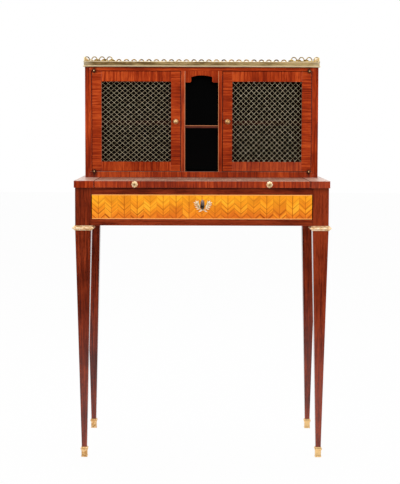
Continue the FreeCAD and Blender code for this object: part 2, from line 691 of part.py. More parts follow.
def niche_shelf():
    """The shelf of the niche, housed in both partitions."""
    level = WRITING_HEIGHT + NICHE_SHELF_RISE
    return box(both(NICHE_SIDE + HOUSING_DEPTH),
               (CABINET_FRONT + NICHE_SHELF_INSET, BACK_PANEL_FRONT),
               (level, level + NICHE_SHELF_THICKNESS))


def cabinet_side(side):
    """A side of the cabinet, with the housings of what it holds."""
    board = box(sided(side, CABINET_INNER, CABINET_SIDE), (CABINET_FRONT, CABINET_BACK),
                (WRITING_HEIGHT, CABINET_HEAD))
    return board.cut([cabinet_back(), cabinet_bottom(), cabinet_top_rail(), side_shelf(side)])


def partition(side):
    """A wall of the niche, notched for the top rail and housed for the shelves."""
    board = box(sided(side, NICHE_SIDE, PARTITION_OUTER), (CABINET_FRONT, BACK_PANEL_FRONT),
                (CABINET_FLOOR, CABINET_HEAD))
    return board.cut([cabinet_top_rail(), side_shelf(side), niche_shelf()])


def niche_apron():
    """The shaped head of the niche: a flat arch between two ears."""
    ear = NICHE_SIDE - NICHE_EAR_WIDTH
    low = RAIL_UNDER - NICHE_APRON_DROP
    spring = RAIL_UNDER - NICHE_SPRING_DROP
    crown = RAIL_UNDER - NICHE_CROWN_DROP
    bend = NICHE_EAR_ROUND * (1 - math.sqrt(1 / 2))
    edges = [arc_edge((-ear, spring), (0, crown), (ear, spring))]
    for side in (LEFT, RIGHT):
        corner = side * (ear + NICHE_EAR_ROUND)
        edges.append(arc_edge((side * ear, low + NICHE_EAR_ROUND), (side * (ear + bend), low + bend),
                              (corner, low)))
        edges += [line_edge((side * ear, spring), (side * ear, low + NICHE_EAR_ROUND)),
                  line_edge((corner, low), (side * NICHE_SIDE, low)),
                  line_edge((side * NICHE_SIDE, low), (side * NICHE_SIDE, RAIL_UNDER))]
    edges.append(line_edge((-NICHE_SIDE, RAIL_UNDER), (NICHE_SIDE, RAIL_UNDER)))
    front = CABINET_FRONT + NICHE_APRON_INSET
    return panel_xz(edges, front, front + NICHE_APRON_THICKNESS)


def door_stop(side):
    """A strip on the partition that stops the meeting stile of a door."""
    front = DOOR_BACK + RUNNING_CLEARANCE
    level = WRITING_HEIGHT + SIDE_SHELF_RISE
    return box(sided(side, PARTITION_OUTER, PARTITION_OUTER + STOP_WIDTH),
               (front, front + STOP_DEPTH), (CABINET_FLOOR, level)).cut(side_shelf(side))


# The brass band and the gallery
def band_profile(place):
    """The section of the band: a bead below, a flat, and a cap; a place puts it in space."""
    top = CABINET_TOP_THICKNESS
    bead_middle = BAND_BEAD_HEIGHT / 2
    cap = top - BAND_CAP_HEIGHT
    points = [(0, BAND_BEAD_HEIGHT), (BAND_FLAT_REACH, BAND_BEAD_HEIGHT), (BAND_FLAT_REACH, cap),
              (BAND_CAP_REACH, cap), (BAND_CAP_REACH, top), (0, top)]
    flat = polygon_face([place(out, up) for out, up in points])
    step = BAND_REACH - bead_middle
    edges = [Part.makeLine(place(0, BAND_BEAD_HEIGHT), place(0, 0)),
             Part.makeLine(place(0, 0), place(step, 0)),
             Part.Arc(place(step, 0), place(BAND_REACH, bead_middle),
                      place(step, BAND_BEAD_HEIGHT)).toShape(),
             Part.makeLine(place(step, BAND_BEAD_HEIGHT), place(0, BAND_BEAD_HEIGHT))]
    bead = Part.Face(Part.Wire(edges))
    return flat, bead


def band_strip(faces, run):
    """A straight length of the band."""
    flat, bead = [face.extrude(run) for face in faces]
    return merged(flat, [bead])


def mitre(side):
    """The room of a side strip of the band, cut at 45 degrees at the front corner."""
    x = side * CABINET_SIDE
    out = side * (BAND_REACH + OVERRUN)
    reach = BAND_REACH + OVERRUN
    corners = [Vector(x, CABINET_FRONT, 0), Vector(x + out, CABINET_FRONT - reach, 0),
               Vector(x + out, CABINET_BACK, 0), Vector(x, CABINET_BACK, 0)]
    face = polygon_face(corners)
    face.translate(Vector(0, 0, CABINET_HEAD))
    return face.extrude(Vector(0, 0, CABINET_TOP_THICKNESS))


def side_band(side):
    """The band along a side of the top."""
    start = CABINET_FRONT - BAND_REACH - OVERRUN

    def place(out, up):
        return Vector(side * (CABINET_SIDE + out), start, CABINET_HEAD + up)

    strip = band_strip(band_profile(place), Vector(0, CABINET_BACK - start, 0))
    return strip.common(mitre(side))


def front_band():
    """The band along the front of the top, mitred at both ends."""
    end = CABINET_SIDE + BAND_REACH

    def place(out, up):
        return Vector(-end, CABINET_FRONT - out, CABINET_HEAD + up)

    strip = band_strip(band_profile(place), Vector(2 * end, 0, 0))
    return strip.cut([mitre(LEFT), mitre(RIGHT)])


def ring_arc(x, radius, steps):
    """Places along a ring of the gallery, from its right foot over the top to its left foot."""
    middle = GALLERY_HEIGHT - LOOP_RADIUS
    start = math.asin((GALLERY_FOOT - middle) / radius)
    turns = [start + (math.pi - 2 * start) * step / steps for step in range(steps + 1)]
    return [(x + radius * math.cos(turn), middle + radius * math.sin(turn)) for turn in turns]


def pierced_strip(count, pitch, ramp):
    """A length of gallery along +X from the origin: rings on a foot strip, with a ramp at its end."""
    length = count * pitch
    strip = panel_xz(outline_edges([(0, 0), (length, 0), (length, GALLERY_FOOT), (0, GALLERY_FOOT)]),
                     0, GALLERY_THICKNESS)
    pieces = []
    for index in range(count):
        x = (index + 1 / 2) * pitch
        outer = ring_arc(x, LOOP_RADIUS, LOOP_OUTER_STEPS)
        inner = ring_arc(x, LOOP_RADIUS - LOOP_WALL, LOOP_INNER_STEPS)
        pieces.append(panel_xz(outline_edges(outer + inner[::-1]), 0, GALLERY_THICKNESS))
    if ramp:
        foot = outer[0][0]
        slope = [(foot, 0), (foot + RETURN_RAMP, 0), (foot, RETURN_RAMP_HEIGHT)]
        pieces.append(panel_xz(outline_edges(slope), 0, GALLERY_THICKNESS))
    return merged(strip, pieces)


def gallery_run(length):
    """The number of rings on a length of gallery, and their even pitch."""
    count = max(1, round(length / GALLERY_PITCH))
    return count, length / count


def back_gallery():
    """The gallery along the back of the top."""
    run = pierced_strip(*gallery_run(CABINET_WIDTH), False)
    run.translate(Vector(-CABINET_SIDE, CABINET_BACK - GALLERY_THICKNESS, CABINET_CROWN))
    return run


def side_gallery(side):
    """The gallery along a side of the top, with a short return along the front."""
    depth = CABINET_BACK - GALLERY_THICKNESS - CABINET_FRONT
    run = pierced_strip(*gallery_run(depth), False)
    run.rotate(Vector(0, 0, 0), Vector(0, 0, 1), 90)
    run.translate(Vector(CABINET_SIDE, CABINET_FRONT, CABINET_CROWN))
    front = pierced_strip(RETURN_LOOPS, GALLERY_PITCH, True)
    front.rotate(Vector(0, 0, 0), Vector(0, 0, 1), 180)
    front.translate(Vector(CABINET_SIDE, CABINET_FRONT + GALLERY_THICKNESS, CABINET_CROWN))
    whole = merged(run, [front])
    if side == LEFT:
        whole = whole.mirror(Vector(0, 0, 0), Vector(1, 0, 0))
    return whole


# The pivots of the doors
def pivot_leaf(side, plane, out, pin):
    """A pivot leaf: half a ball on the axis and a plate that runs back into the wood.

    The leaf stands beyond a level plane, up where out is 1 and down where it is -1, and carries
    the pin or the hole for it.
    """
    x = side * PIVOT_X
    base = Vector(x, PIVOT_Y, plane)
    away = Vector(0, 0, out)
    dome = [(radius * PIVOT_BALL_RADIUS, height * PIVOT_BALL_HEIGHT)
            for radius, height in zip(DOME_RADIUS_SHARES, DOME_HEIGHT_SHARES)]
    ball = turned(dome, base, away, PIVOT_SIDES)
    levels = (plane, plane + out * LEAF_PLATE_THICKNESS)
    back = CABINET_FRONT + LEAF_PLATE_SETBACK + LEAF_PLATE_WIDTH
    neck = box((x - LEAF_PLATE_WIDTH / 2, x + LEAF_PLATE_WIDTH / 2), (PIVOT_Y, back), levels)
    plate = box((x + side * LEAF_PLATE_WIDTH / 2, x + side * (LEAF_PLATE_WIDTH / 2 - LEAF_PLATE_LENGTH)),
                (CABINET_FRONT + LEAF_PLATE_SETBACK, back), levels)
    whole = merged(ball, [neck, plate])
    if pin:
        rod = Part.makeCylinder(PIVOT_PIN_RADIUS, 2 * PIVOT_PIN_LENGTH,
                                base - away * PIVOT_PIN_LENGTH, away)
        return merged(whole, [rod])
    depth = PIVOT_PIN_LENGTH + DOOR_GAP
    bore = Part.makeCylinder(PIVOT_PIN_RADIUS + PIN_CLEARANCE, depth + OVERRUN,
                             base - away * OVERRUN, away)
    return whole.cut(bore)


def carcass_leaf(side, end):
    """The cabinet's leaf of a pivot, at the head or the foot of a door."""
    plane = (RAIL_UNDER - DOOR_GAP / 2 + PIN_CLEARANCE if end > 0
             else CABINET_FLOOR + DOOR_GAP / 2 - PIN_CLEARANCE)
    return pivot_leaf(side, plane, end, True)


def carcass_leaves():
    """All the cabinet's leaves."""
    return [carcass_leaf(side, end) for side in (LEFT, RIGHT) for end in (-1, 1)]


def door_leaf(side, end):
    """The door's leaf of a pivot, at its head or its foot."""
    plane = (RAIL_UNDER - DOOR_GAP / 2 - PIN_CLEARANCE if end > 0
             else CABINET_FLOOR + DOOR_GAP / 2 + PIN_CLEARANCE)
    return pivot_leaf(side, plane, -end, False)


def door_leaves(side):
    """Both leaves of a door."""
    return [door_leaf(side, end) for end in (-1, 1)]


# The doors
def rebate(side):
    """The room behind the frame of a door where the grille sits."""
    return box(sided(side, OPENING_INNER - REBATE_WIDTH, OPENING_OUTER + REBATE_WIDTH),
               (GRILLE_FRONT, DOOR_BACK + OVERRUN),
               (GRILLE_BOTTOM - REBATE_WIDTH, GRILLE_TOP + REBATE_WIDTH))


def door_rail(side, bottom, top):
    """A rail of a door, with a tenon at each end."""
    board = box(sided(side, OPENING_INNER, OPENING_OUTER), (CABINET_FRONT, DOOR_BACK), (bottom, top))
    front = CABINET_FRONT + DOOR_TENON_SETBACK
    tenon = box(sided(side, OPENING_INNER - DOOR_TENON_LENGTH, OPENING_OUTER + DOOR_TENON_LENGTH),
                (front, front + DOOR_TENON_THICKNESS),
                (bottom + DOOR_TENON_SHOULDER, top - DOOR_TENON_SHOULDER))
    return merged(board, [tenon]).cut([rebate(side)] + door_leaves(side))


def door_top_rail(side):
    """The rail at the head of a door."""
    return door_rail(side, GRILLE_TOP, DOOR_TOP)


def door_bottom_rail(side):
    """The rail at the foot of a door."""
    return door_rail(side, DOOR_BOTTOM, GRILLE_BOTTOM)


def door_stile(side, near, far, extra_cuts):
    """An upright of a door, mortised for both rails and rebated for the grille."""
    board = box(sided(side, near, far), (CABINET_FRONT, DOOR_BACK), (DOOR_BOTTOM, DOOR_TOP))
    return board.cut([door_top_rail(side), door_bottom_rail(side), rebate(side)] + extra_cuts)


def hinge_stile(side):
    """The outer upright of a door, let in for its pivot leaves."""
    return door_stile(side, OPENING_OUTER, DOOR_OUTER, door_leaves(side))


def meeting_stile(side):
    """The inner upright of a door, bored for its knob."""
    return door_stile(side, DOOR_INNER, OPENING_INNER, [stem_hole(door_knob_base(side))])


def door_knob_base(side):
    """Where the knob of a door meets its stile."""
    return Vector(side * DOOR_KNOB_PLACE, CABINET_FRONT, DOOR_KNOB_LEVEL)


def door_knob(side):
    """A ball on a short neck and a round base, with its stem."""
    base = door_knob_base(side)
    middle = DOOR_KNOB_REACH - DOOR_KNOB_RADIUS
    neck_turn = math.asin(DOOR_KNOB_NECK_RADIUS / DOOR_KNOB_RADIUS)
    turns = [neck_turn + (math.pi - neck_turn) * step / DOOR_KNOB_BANDS
             for step in range(DOOR_KNOB_BANDS + 1)]
    ball = [(DOOR_KNOB_RADIUS * math.sin(turn), middle - DOOR_KNOB_RADIUS * math.cos(turn))
            for turn in turns[:-1]]
    foot = [(DOOR_KNOB_BASE_RADIUS, 0), (DOOR_KNOB_BASE_RADIUS, DOOR_KNOB_BASE_HEIGHT),
            (DOOR_KNOB_NECK_RADIUS, DOOR_KNOB_BASE_HEIGHT)]
    tip = [(DOOR_KNOB_TIP_SHARE * DOOR_KNOB_RADIUS, DOOR_KNOB_REACH)]
    knob = turned(foot + ball + tip, base, Vector(0, -1, 0), KNOB_SIDES)
    return merged(knob, [knob_stem(base)])


def grille(side):
    """Two layers of crossing wires bound by a flat edging that fills the rebate."""
    depth = 2 * GRILLE_WIRE + GRILLE_LAYER_GAP
    margin = REBATE_WIDTH - GRILLE_EDGE_CLEARANCE
    outer = box(sided(side, OPENING_INNER - margin, OPENING_OUTER + margin),
                (GRILLE_FRONT, GRILLE_FRONT + depth), (GRILLE_BOTTOM - margin, GRILLE_TOP + margin))
    hole = box(sided(side, OPENING_INNER, OPENING_OUTER),
               (GRILLE_FRONT - OVERRUN, GRILLE_FRONT + depth + OVERRUN), (GRILLE_BOTTOM, GRILLE_TOP))
    middle_x = side * (OPENING_INNER + OPENING_OUTER) / 2
    middle_z = (GRILLE_BOTTOM + GRILLE_TOP) / 2
    width = OPENING_OUTER - OPENING_INNER
    height = GRILLE_TOP - GRILLE_BOTTOM
    trim = box(sided(side, OPENING_INNER - margin / 2, OPENING_OUTER + margin / 2),
               (GRILLE_FRONT, GRILLE_FRONT + depth),
               (GRILLE_BOTTOM - margin / 2, GRILLE_TOP + margin / 2))
    turn = math.degrees(math.atan2(DIAMOND_HEIGHT, DIAMOND_WIDTH))
    reach = math.hypot(width, height) / 2 + margin
    count = int((width / DIAMOND_WIDTH + height / DIAMOND_HEIGHT) / 2)
    wires = []
    for layer, slant in enumerate((turn, -turn)):
        front = GRILLE_FRONT + layer * (GRILLE_WIRE + GRILLE_LAYER_GAP)
        for step in range(-count, count + 1):
            wire = box(both(reach), (front, front + GRILLE_WIRE), both(GRILLE_WIRE / 2))
            wire.rotate(Vector(0, 0, 0), Vector(0, -1, 0), slant)
            wire.translate(Vector(middle_x + step * DIAMOND_WIDTH, 0, middle_z))
            wires += wire.common(trim).Solids
    return merged(outer.cut(hole), wires)


def leg(side, end):
    """A leg with the mortises of the aprons and rails that meet it."""
    members = [side_apron(side)]
    if end == FRONT:
        members += [upper_front_rail(), lower_front_rail()]
    else:
        members.append(back_apron())
    return leg_blank(side, end).cut(members)


def lower_front_rail():
    """The rail below the drawer."""
    return cross_rail(RAIL_FRONT, RAIL_BACK, APRON_BOTTOM, OPENING_BOTTOM)


def back_apron():
    """The apron between the rear legs."""
    return cross_rail(BACK_APRON_FRONT, BACK_APRON_BACK, APRON_BOTTOM, BOARD_BOTTOM)


def build_table():
    """Write the pieces of the table."""
    corners = [(side, end) for end in (FRONT, REAR) for side in (LEFT, RIGHT)]
    for side, end in corners:
        save(END_NAMES[end] + "_" + SIDE_NAMES[side] + "_leg", leg(side, end))
    save("leg_collars", *[collar(side, end) for side, end in corners])
    save("leg_sabots", *[sabot(side, end) for side, end in corners])
    for side in (LEFT, RIGHT):
        save(SIDE_NAMES[side] + "_apron", side_apron(side))
        save(SIDE_NAMES[side] + "_top_board", end_board(side))
    save("back_apron", back_apron())
    save("back_top_board", back_board())
    save("upper_front_rail", upper_front_rail())
    save("lower_front_rail", lower_front_rail())
    save("drawer_runners", *[drawer_runner(side) for side in (LEFT, RIGHT)],
         *[drawer_guide(side) for side in (LEFT, RIGHT)])
    save("dust_board", dust_board())
    save("slide_bearers", *[slide_bearer(side) for side in (LEFT, RIGHT)])
    save("slide_board", slide_board())
    save("slide_knobs", *[slide_knob(side) for side in (LEFT, RIGHT)])


def build_drawer():
    """Write the pieces of the drawer and its lock."""
    save("drawer_front", drawer_front())
    for side in (LEFT, RIGHT):
        save("drawer_" + SIDE_NAMES[side] + "_side", drawer_side(side))
    save("drawer_back", drawer_back())
    save("drawer_bottom", drawer_bottom())
    save("escutcheon", escutcheon())
    save("lock_case", lock_case())
    save("lock_bolt", lock_bolt())


def build_cabinet():
    """Write the pieces of the cabinet, its band and its gallery."""
    for side in (LEFT, RIGHT):
        save("cabinet_" + SIDE_NAMES[side] + "_side", cabinet_side(side))
        save(SIDE_NAMES[side] + "_partition", partition(side))
        save(SIDE_NAMES[side] + "_shelf", side_shelf(side))
        save("gallery_" + SIDE_NAMES[side], side_gallery(side))
    save("cabinet_top", cabinet_top())
    save("cabinet_bottom", cabinet_bottom())
    save("cabinet_back", cabinet_back())
    save("cabinet_top_rail", cabinet_top_rail())
    save("niche_shelf", niche_shelf())
    save("niche_apron", niche_apron())
    save("door_stops", *[door_stop(side) for side in (LEFT, RIGHT)])
    save("top_band", front_band(), side_band(LEFT), side_band(RIGHT))
    save("gallery_back", back_gallery())
    save("cabinet_pivots", *carcass_leaves())


def build_doors():
    """Write the pieces of both doors."""
    for side in (LEFT, RIGHT):
        door = SIDE_NAMES[side] + "_door_"
        save(door + "hinge_stile", hinge_stile(side))
        save(door + "meeting_stile", meeting_stile(side))
        save(door + "top_rail", door_top_rail(side))
        save(door + "bottom_rail", door_bottom_rail(side))
        save(door + "grille", grille(side))
        save(door + "knob", door_knob(side))
        save(door + "pivots", *door_leaves(side))


os.makedirs("parts", exist_ok=True)
build_table()
build_drawer()
build_cabinet()
build_doors()
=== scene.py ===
import math

import bmesh
import bpy
from mathutils import Color, Matrix, Vector


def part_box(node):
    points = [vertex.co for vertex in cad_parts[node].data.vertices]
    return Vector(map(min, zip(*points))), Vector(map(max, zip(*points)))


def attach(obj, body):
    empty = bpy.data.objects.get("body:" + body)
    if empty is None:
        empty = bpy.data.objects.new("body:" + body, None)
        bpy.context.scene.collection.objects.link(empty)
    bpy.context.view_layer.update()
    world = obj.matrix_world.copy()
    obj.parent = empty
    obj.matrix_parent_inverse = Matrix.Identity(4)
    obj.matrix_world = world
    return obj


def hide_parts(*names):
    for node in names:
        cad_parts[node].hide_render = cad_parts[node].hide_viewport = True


# Looks of a bonheur du jour: a writing table with a parquetry drawer, a pull-out slide and a small
# cabinet with wire grilles and a pierced gallery. New pieces are drawn in millimetres in the frame of
# the solids, and are turned into metres when they are made. Sizes inside materials are in metres.
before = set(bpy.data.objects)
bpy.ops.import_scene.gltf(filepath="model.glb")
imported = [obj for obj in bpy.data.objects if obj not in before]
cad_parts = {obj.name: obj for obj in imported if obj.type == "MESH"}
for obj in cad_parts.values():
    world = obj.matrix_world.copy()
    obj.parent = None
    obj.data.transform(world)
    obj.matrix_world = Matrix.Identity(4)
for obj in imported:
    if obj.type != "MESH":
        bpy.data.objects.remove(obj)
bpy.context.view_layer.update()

MM = 0.001
LEFT, RIGHT = -1, 1
SIDE_NAMES = {LEFT: "left", RIGHT: "right"}
X, Y, Z = range(3)
UP = Vector((0, 0, 1))
DEEP = Vector((0, 1, 0))
OUTWARD = Vector((0, -1, 0))
SCREEN_WHITE = 255


def box_mm(node):
    """The lowest and highest corner of a node, in millimetres."""
    low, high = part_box(node)
    return low / MM, high / MM


def evenly(first, last, count):
    """Numbers from first to last in equal steps, with both ends."""
    return [first + (last - first) * step / count for step in range(count + 1)]


def srgb(red, green, blue):
    """A colour written as on a screen, from 0 to 255, as linear light."""
    shown = Color((red / SCREEN_WHITE, green / SCREEN_WHITE, blue / SCREEN_WHITE))
    return (*shown.from_srgb_to_scene_linear(), 1.0)


# Colours: one, or the dark, middle and light tone of a material
MAHOGANY = (srgb(66, 16, 5), srgb(106, 33, 10), srgb(138, 50, 20))
CROSSBAND = (srgb(112, 29, 6), srgb(158, 51, 13), srgb(194, 78, 28))
SHADED = (srgb(26, 8, 4), srgb(44, 15, 8), srgb(60, 23, 13))
# Paler upper faces: faded wood with painted sheen, and a painted reflection on the end boards
FADE_AND_SHEEN = (srgb(150, 104, 84), srgb(188, 142, 120), srgb(214, 176, 154))
PAINTED_REFLECTION_TOP = (srgb(196, 150, 130), srgb(226, 184, 164), srgb(244, 212, 194))
OAK = (srgb(112, 76, 44), srgb(158, 115, 72), srgb(188, 148, 98))
# Black of the stained inside of the cabinet, also used as painted shade
BLACK_STAIN_AND_SHADE = srgb(2, 2, 2)
# Dark brown of painted shade, under overhanging edges and along the door gaps; also used round the pivots
PAINTED_SHADE_BROWN = srgb(34, 6, 2)
PALE_EDGE = srgb(206, 134, 88)
# Grey of a painted sheen, where light washes the wood out
PAINTED_SHEEN_GREY = srgb(170, 130, 115)
TULIPWOOD = (srgb(200, 90, 8), srgb(240, 138, 20), srgb(255, 184, 46))
TULIPWOOD_LOW = srgb(226, 112, 38)
TULIPWOOD_HIGH = srgb(255, 178, 36)
STRINGING = srgb(255, 170, 88)
JOINT = srgb(150, 54, 4)
GILT = (srgb(208, 161, 107), srgb(246, 210, 161), srgb(255, 234, 202))
DEEP_GILT = (srgb(196, 142, 82), srgb(226, 178, 116), srgb(246, 210, 160))
# Dark gilt low between the laurel leaves, near the drawer: patina and painted shade
HOLLOW_DARK_GILT = srgb(92, 56, 18)
# Lighter gilt painted on the right-hand sabots, where more light falls
LIT_GILT = srgb(242, 200, 138)
ROSETTE_GILT = (srgb(242, 196, 134), srgb(255, 232, 184), srgb(255, 246, 220))
ROSETTE_BOSS = srgb(132, 94, 40)
LAUREL_GILT = (srgb(214, 180, 130), srgb(250, 228, 190), srgb(255, 248, 228))
BAND = (srgb(130, 102, 56), srgb(178, 147, 93), srgb(216, 187, 130))
# Painted highlight on the band's bead and cap, also laid towards its ends
BAND_HIGHLIGHT = srgb(255, 238, 200)
# Gallery brass, darkened in part as painted shade
GALLERY = (srgb(92, 68, 16), srgb(154, 120, 42), srgb(222, 190, 104))
PALE_BRASS = srgb(246, 224, 166)
WIRE = (srgb(150, 136, 106), srgb(196, 183, 149), srgb(232, 220, 188))
DARK_BRASS = (srgb(34, 16, 7), srgb(56, 29, 13), srgb(92, 54, 28))
# Painted glint at the front of each pivot ball
GLINT_BRASS = srgb(255, 206, 150)
PLATE = (srgb(34, 32, 30), srgb(66, 63, 58), srgb(110, 104, 96))
# Painted highlight on the upper part of the keyhole plate
PLATE_HIGHLIGHT = srgb(206, 178, 172)
IRON = (srgb(70, 68, 66), srgb(120, 117, 112), srgb(168, 164, 158))
WHITE = srgb(255, 255, 255)
# Where the three tones lie on the noise of metal and of wood
METAL_TONES = (0.34, 0.5, 0.66)
WOOD_TONES = (0.39, 0.5, 0.61)

# Metals: tones, roughness, size of the worn patches and depth of the relief in millimetres, and how
# metallic they are
METALS = {
    "gilt": (GILT, 0.4, 8, 0.08, 0.7),
    "deep_gilt": (DEEP_GILT, 0.34, 5, 0.06, 0.75),
    "sabot_gilt": (DEEP_GILT, 0.36, 5, 0.06, 0.75),
    "rosette_gilt": (ROSETTE_GILT, 0.36, 8, 0.08, 0.6),
    "laurel_gilt": (LAUREL_GILT, 0.4, 8, 0.08, 0.5),
    "gallery_brass": (GALLERY, 0.4, 8, 0.05, 0.5),
    "wire_brass": (WIRE, 0.45, 10, 0.02, 0.4),
    "pivot_brass": (DARK_BRASS, 0.42, 4, 0.1, 1.0),
    "plate_metal": (PLATE, 0.4, 5, 0.1, 0.85),
    "iron": (IRON, 0.42, 12, 0.1, 0.85),
}
ROUGHNESS_SPREAD = 0.2

# Scale of the grain, the part that each scale has in the tone of the wood, and a shift for each node
STREAK_WIDTH, STREAK_LENGTH = 4.5 * MM, 120 * MM
PORE_WIDTH, PORE_LENGTH = 0.7 * MM, 14 * MM
CLOUD_SIZE = 90 * MM
STREAK_SHARE, PORE_SHARE, CLOUD_SHARE = 0.48, 0.2, 0.32
GRAIN_SHIFT = Vector((3.7, 5.3, 7.9))
# Dark pores: the tone of the pore noise at their middle, their reach in that tone and how dark they are
PORE_TONE, PORE_REACH, PORE_DARKNESS = 0.3, 0.14, 0.8
PORE_RELIEF, BARE_RELIEF = 0.04 * MM, 0.15 * MM

# Roughness of polished wood: the least, and how much the pores and fading add
POLISH, PORE_POLISH = 0.1, 0.1
FADED_DULLNESS, END_DULLNESS = 0.3, 0.16
BARE_ROUGHNESS = 0.62
SHEEN, BARE_SHEEN = 0.5, 0.2

# Detail of noise
SMOOTH_DETAIL, FIBRE_DETAIL, WEAR_DETAIL = 2.0, 3.0, 4.0

# Sockets of a mix node: the share, both values and the result
MIX_SOCKETS = {"FLOAT": (0, 2, 3, 0), "RGBA": (0, 6, 7, 2)}


# Materials
def operator(operation):
    """A method for one step between an output and another or a number."""
    def method(self, other):
        return self.tree.math(operation, self, other)
    return method


class Output:
    """An output of a node. Each sum or comparison with it adds a node."""

    def __init__(self, tree, socket):
        self.tree = tree
        self.socket = socket

    __add__ = operator("ADD")
    __sub__ = operator("SUBTRACT")
    __mul__ = operator("MULTIPLY")
    __truediv__ = operator("DIVIDE")
    __pow__ = operator("POWER")
    __lt__ = operator("LESS_THAN")
    __gt__ = operator("GREATER_THAN")
    smaller = operator("MINIMUM")
    larger = operator("MAXIMUM")

    def __rsub__(self, other):
        return self.tree.math("SUBTRACT", other, self)

    def __floordiv__(self, other):
        return self.tree.math("FLOOR", self / other)

    def __abs__(self):
        return self.tree.math("ABSOLUTE", self)

    def near(self, place, reach):
        """1 at a place, falling to 0 at a reach from it."""
        return 1.0 - (abs(self - place) / reach).smaller(1.0)

    def between(self, low, high):
        """1 between two limits, and 0 elsewhere."""
        return (self > low) * (self < high)

    def margin(self, low, high):
        """How far it lies inside two limits."""
        return (self - low).smaller(high - self)


class Tree:
    """The nodes of a material or of the world, added one at a time."""

    def __init__(self, owner):
        owner.use_nodes = True
        self.nodes = owner.node_tree.nodes
        self.links = owner.node_tree.links

    def node(self, kind, **settings):
        """Add a node with its settings."""
        made = self.nodes.new(kind)
        for key, value in settings.items():
            setattr(made, key, value)
        return made

    def feed(self, socket, value):
        """Put a value or the output of another node into a socket."""
        source = value.socket if isinstance(value, Output) else value
        if isinstance(source, bpy.types.NodeSocket):
            self.links.new(source, socket)
        else:
            socket.default_value = source

    def step(self, kind, values, **settings):
        """Add a node, feed its sockets in their order and give back its outputs."""
        made = self.node(kind, **settings)
        for socket, value in zip(made.inputs, values):
            self.feed(socket, value)
        return [Output(self, socket) for socket in made.outputs]

    def math(self, operation, *values):
        """One step on numbers."""
        return self.step("ShaderNodeMath", values, operation=operation)[0]

    def blend(self, share, first, second, kind="RGBA"):
        """A colour, or a plain number, between two others."""
        made = self.node("ShaderNodeMix", data_type=kind)
        *sockets, result = MIX_SOCKETS[kind]
        for socket, value in zip(sockets, (share, first, second)):
            self.feed(made.inputs[socket], value)
        return made.outputs[result]


class Shader(Tree):
    """The nodes of a material, with the place, tone, colour and roughness of a point."""

    def __init__(self, name, roughness, metallic=0.0, specular=SHEEN):
        self.material = bpy.data.materials.new(name)
        super().__init__(self.material)
        self.surface = self.nodes["Principled BSDF"].inputs
        self.feed(self.surface["Metallic"], metallic)
        self.feed(self.surface["Specular IOR Level"], specular)
        self.feed(self.surface["Roughness"], roughness)
        self.rough = roughness
        self.place = self.node("ShaderNodeTexCoord").outputs["Object"]
        self.x, self.y, self.z = self.axes = self.step("ShaderNodeSeparateXYZ", (self.place,))

    def noise(self, vector, detail=SMOOTH_DETAIL):
        """Smooth noise whose grains are about one unit wide."""
        return self.step("ShaderNodeTexNoise", (vector, 0.0, 1.0, detail))[0]

    def patches(self, sizes, shift=(0, 0, 0), detail=SMOOTH_DETAIL):
        """Noise with grains of a size along each axis."""
        values = (self.place, [1 / size for size in sizes], shift)
        return self.noise(self.step("ShaderNodeVectorMath", values, operation="MULTIPLY_ADD")[0], detail)

    def streaks(self, grain, width, length, shift):
        """Noise drawn out along the axes of the grain."""
        return self.patches([length if axis in grain else width for axis in (X, Y, Z)], shift)

    def surface_noise(self, across, along, third, detail=SMOOTH_DETAIL):
        """Noise over three numbers."""
        return self.noise(self.step("ShaderNodeCombineXYZ", (across, along, third))[0], detail)

    def chance(self, value):
        """A random share that belongs to a number."""
        return self.step("ShaderNodeTexWhiteNoise", ((0, 0, 0), value), noise_dimensions="1D")[0]

    def ramp(self, value, places, colours):
        """A colour picked along a ramp."""
        made = self.node("ShaderNodeValToRGB")
        stops = made.color_ramp.elements
        while len(stops) < len(places):
            stops.new(1.0)
        for stop, place, colour in zip(stops, places, colours):
            stop.position = place
            stop.color = colour
        self.feed(made.inputs[0], value)
        return made.outputs["Color"]

    def tint(self, tone, places, colours):
        """Give each point the colour of its tone."""
        self.tone = tone
        self.colour = self.ramp(tone, places, colours)

    def paint(self, share, colour):
        """Lay another colour over a share of the surface."""
        self.colour = self.blend(share, self.colour, colour)

    def finish(self, height, relief):
        """Set the colour, the roughness and the relief, and give back the material."""
        made = self.node("ShaderNodeBump")
        self.feed(made.inputs["Distance"], relief)
        self.feed(made.inputs["Height"], height)
        self.feed(self.surface["Normal"], made.outputs["Normal"])
        self.feed(self.surface["Base Color"], self.colour)
        self.feed(self.surface["Roughness"], self.rough)
        return self.material


# Layers that are painted over the wood
FACE_SLACK = 0.3 * MM
# Painted shade: its reach and share along the door edges, and its share and power near a level
EDGE_SHADE_REACH = 1.8 * MM
EDGE_SHADE_SHARE = 0.9
LEVEL_SHADE_SHARE, LEVEL_SHADE_POWER = 0.66, 1.5
PALE_EDGE_WIDTH = 1.4 * MM
# Axis of the door pivots, in millimetres, and the darker patch round them
PIVOT_X, PIVOT_Y = 307.5, 44.8
PIVOT_DARK_WIDTH, PIVOT_DARK_HEIGHT = 9.0 * MM, 20.0 * MM


def black_inside(node, depth):
    """Black on the faces inside the cabinet, from a depth behind the front of a node."""
    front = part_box(node)[0].y + depth
    low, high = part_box("cabinet_bottom")[1].z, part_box("cabinet_top")[0].z
    back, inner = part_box("cabinet_back")[0].y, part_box("cabinet_right_side")[0].x

    def layer(shader):
        inside = (abs(shader.x) < inner + FACE_SLACK) * shader.y.between(front, back + FACE_SLACK)
        shader.paint(inside * shader.z.between(low - FACE_SLACK, high + FACE_SLACK), BLACK_STAIN_AND_SHADE)
    return layer


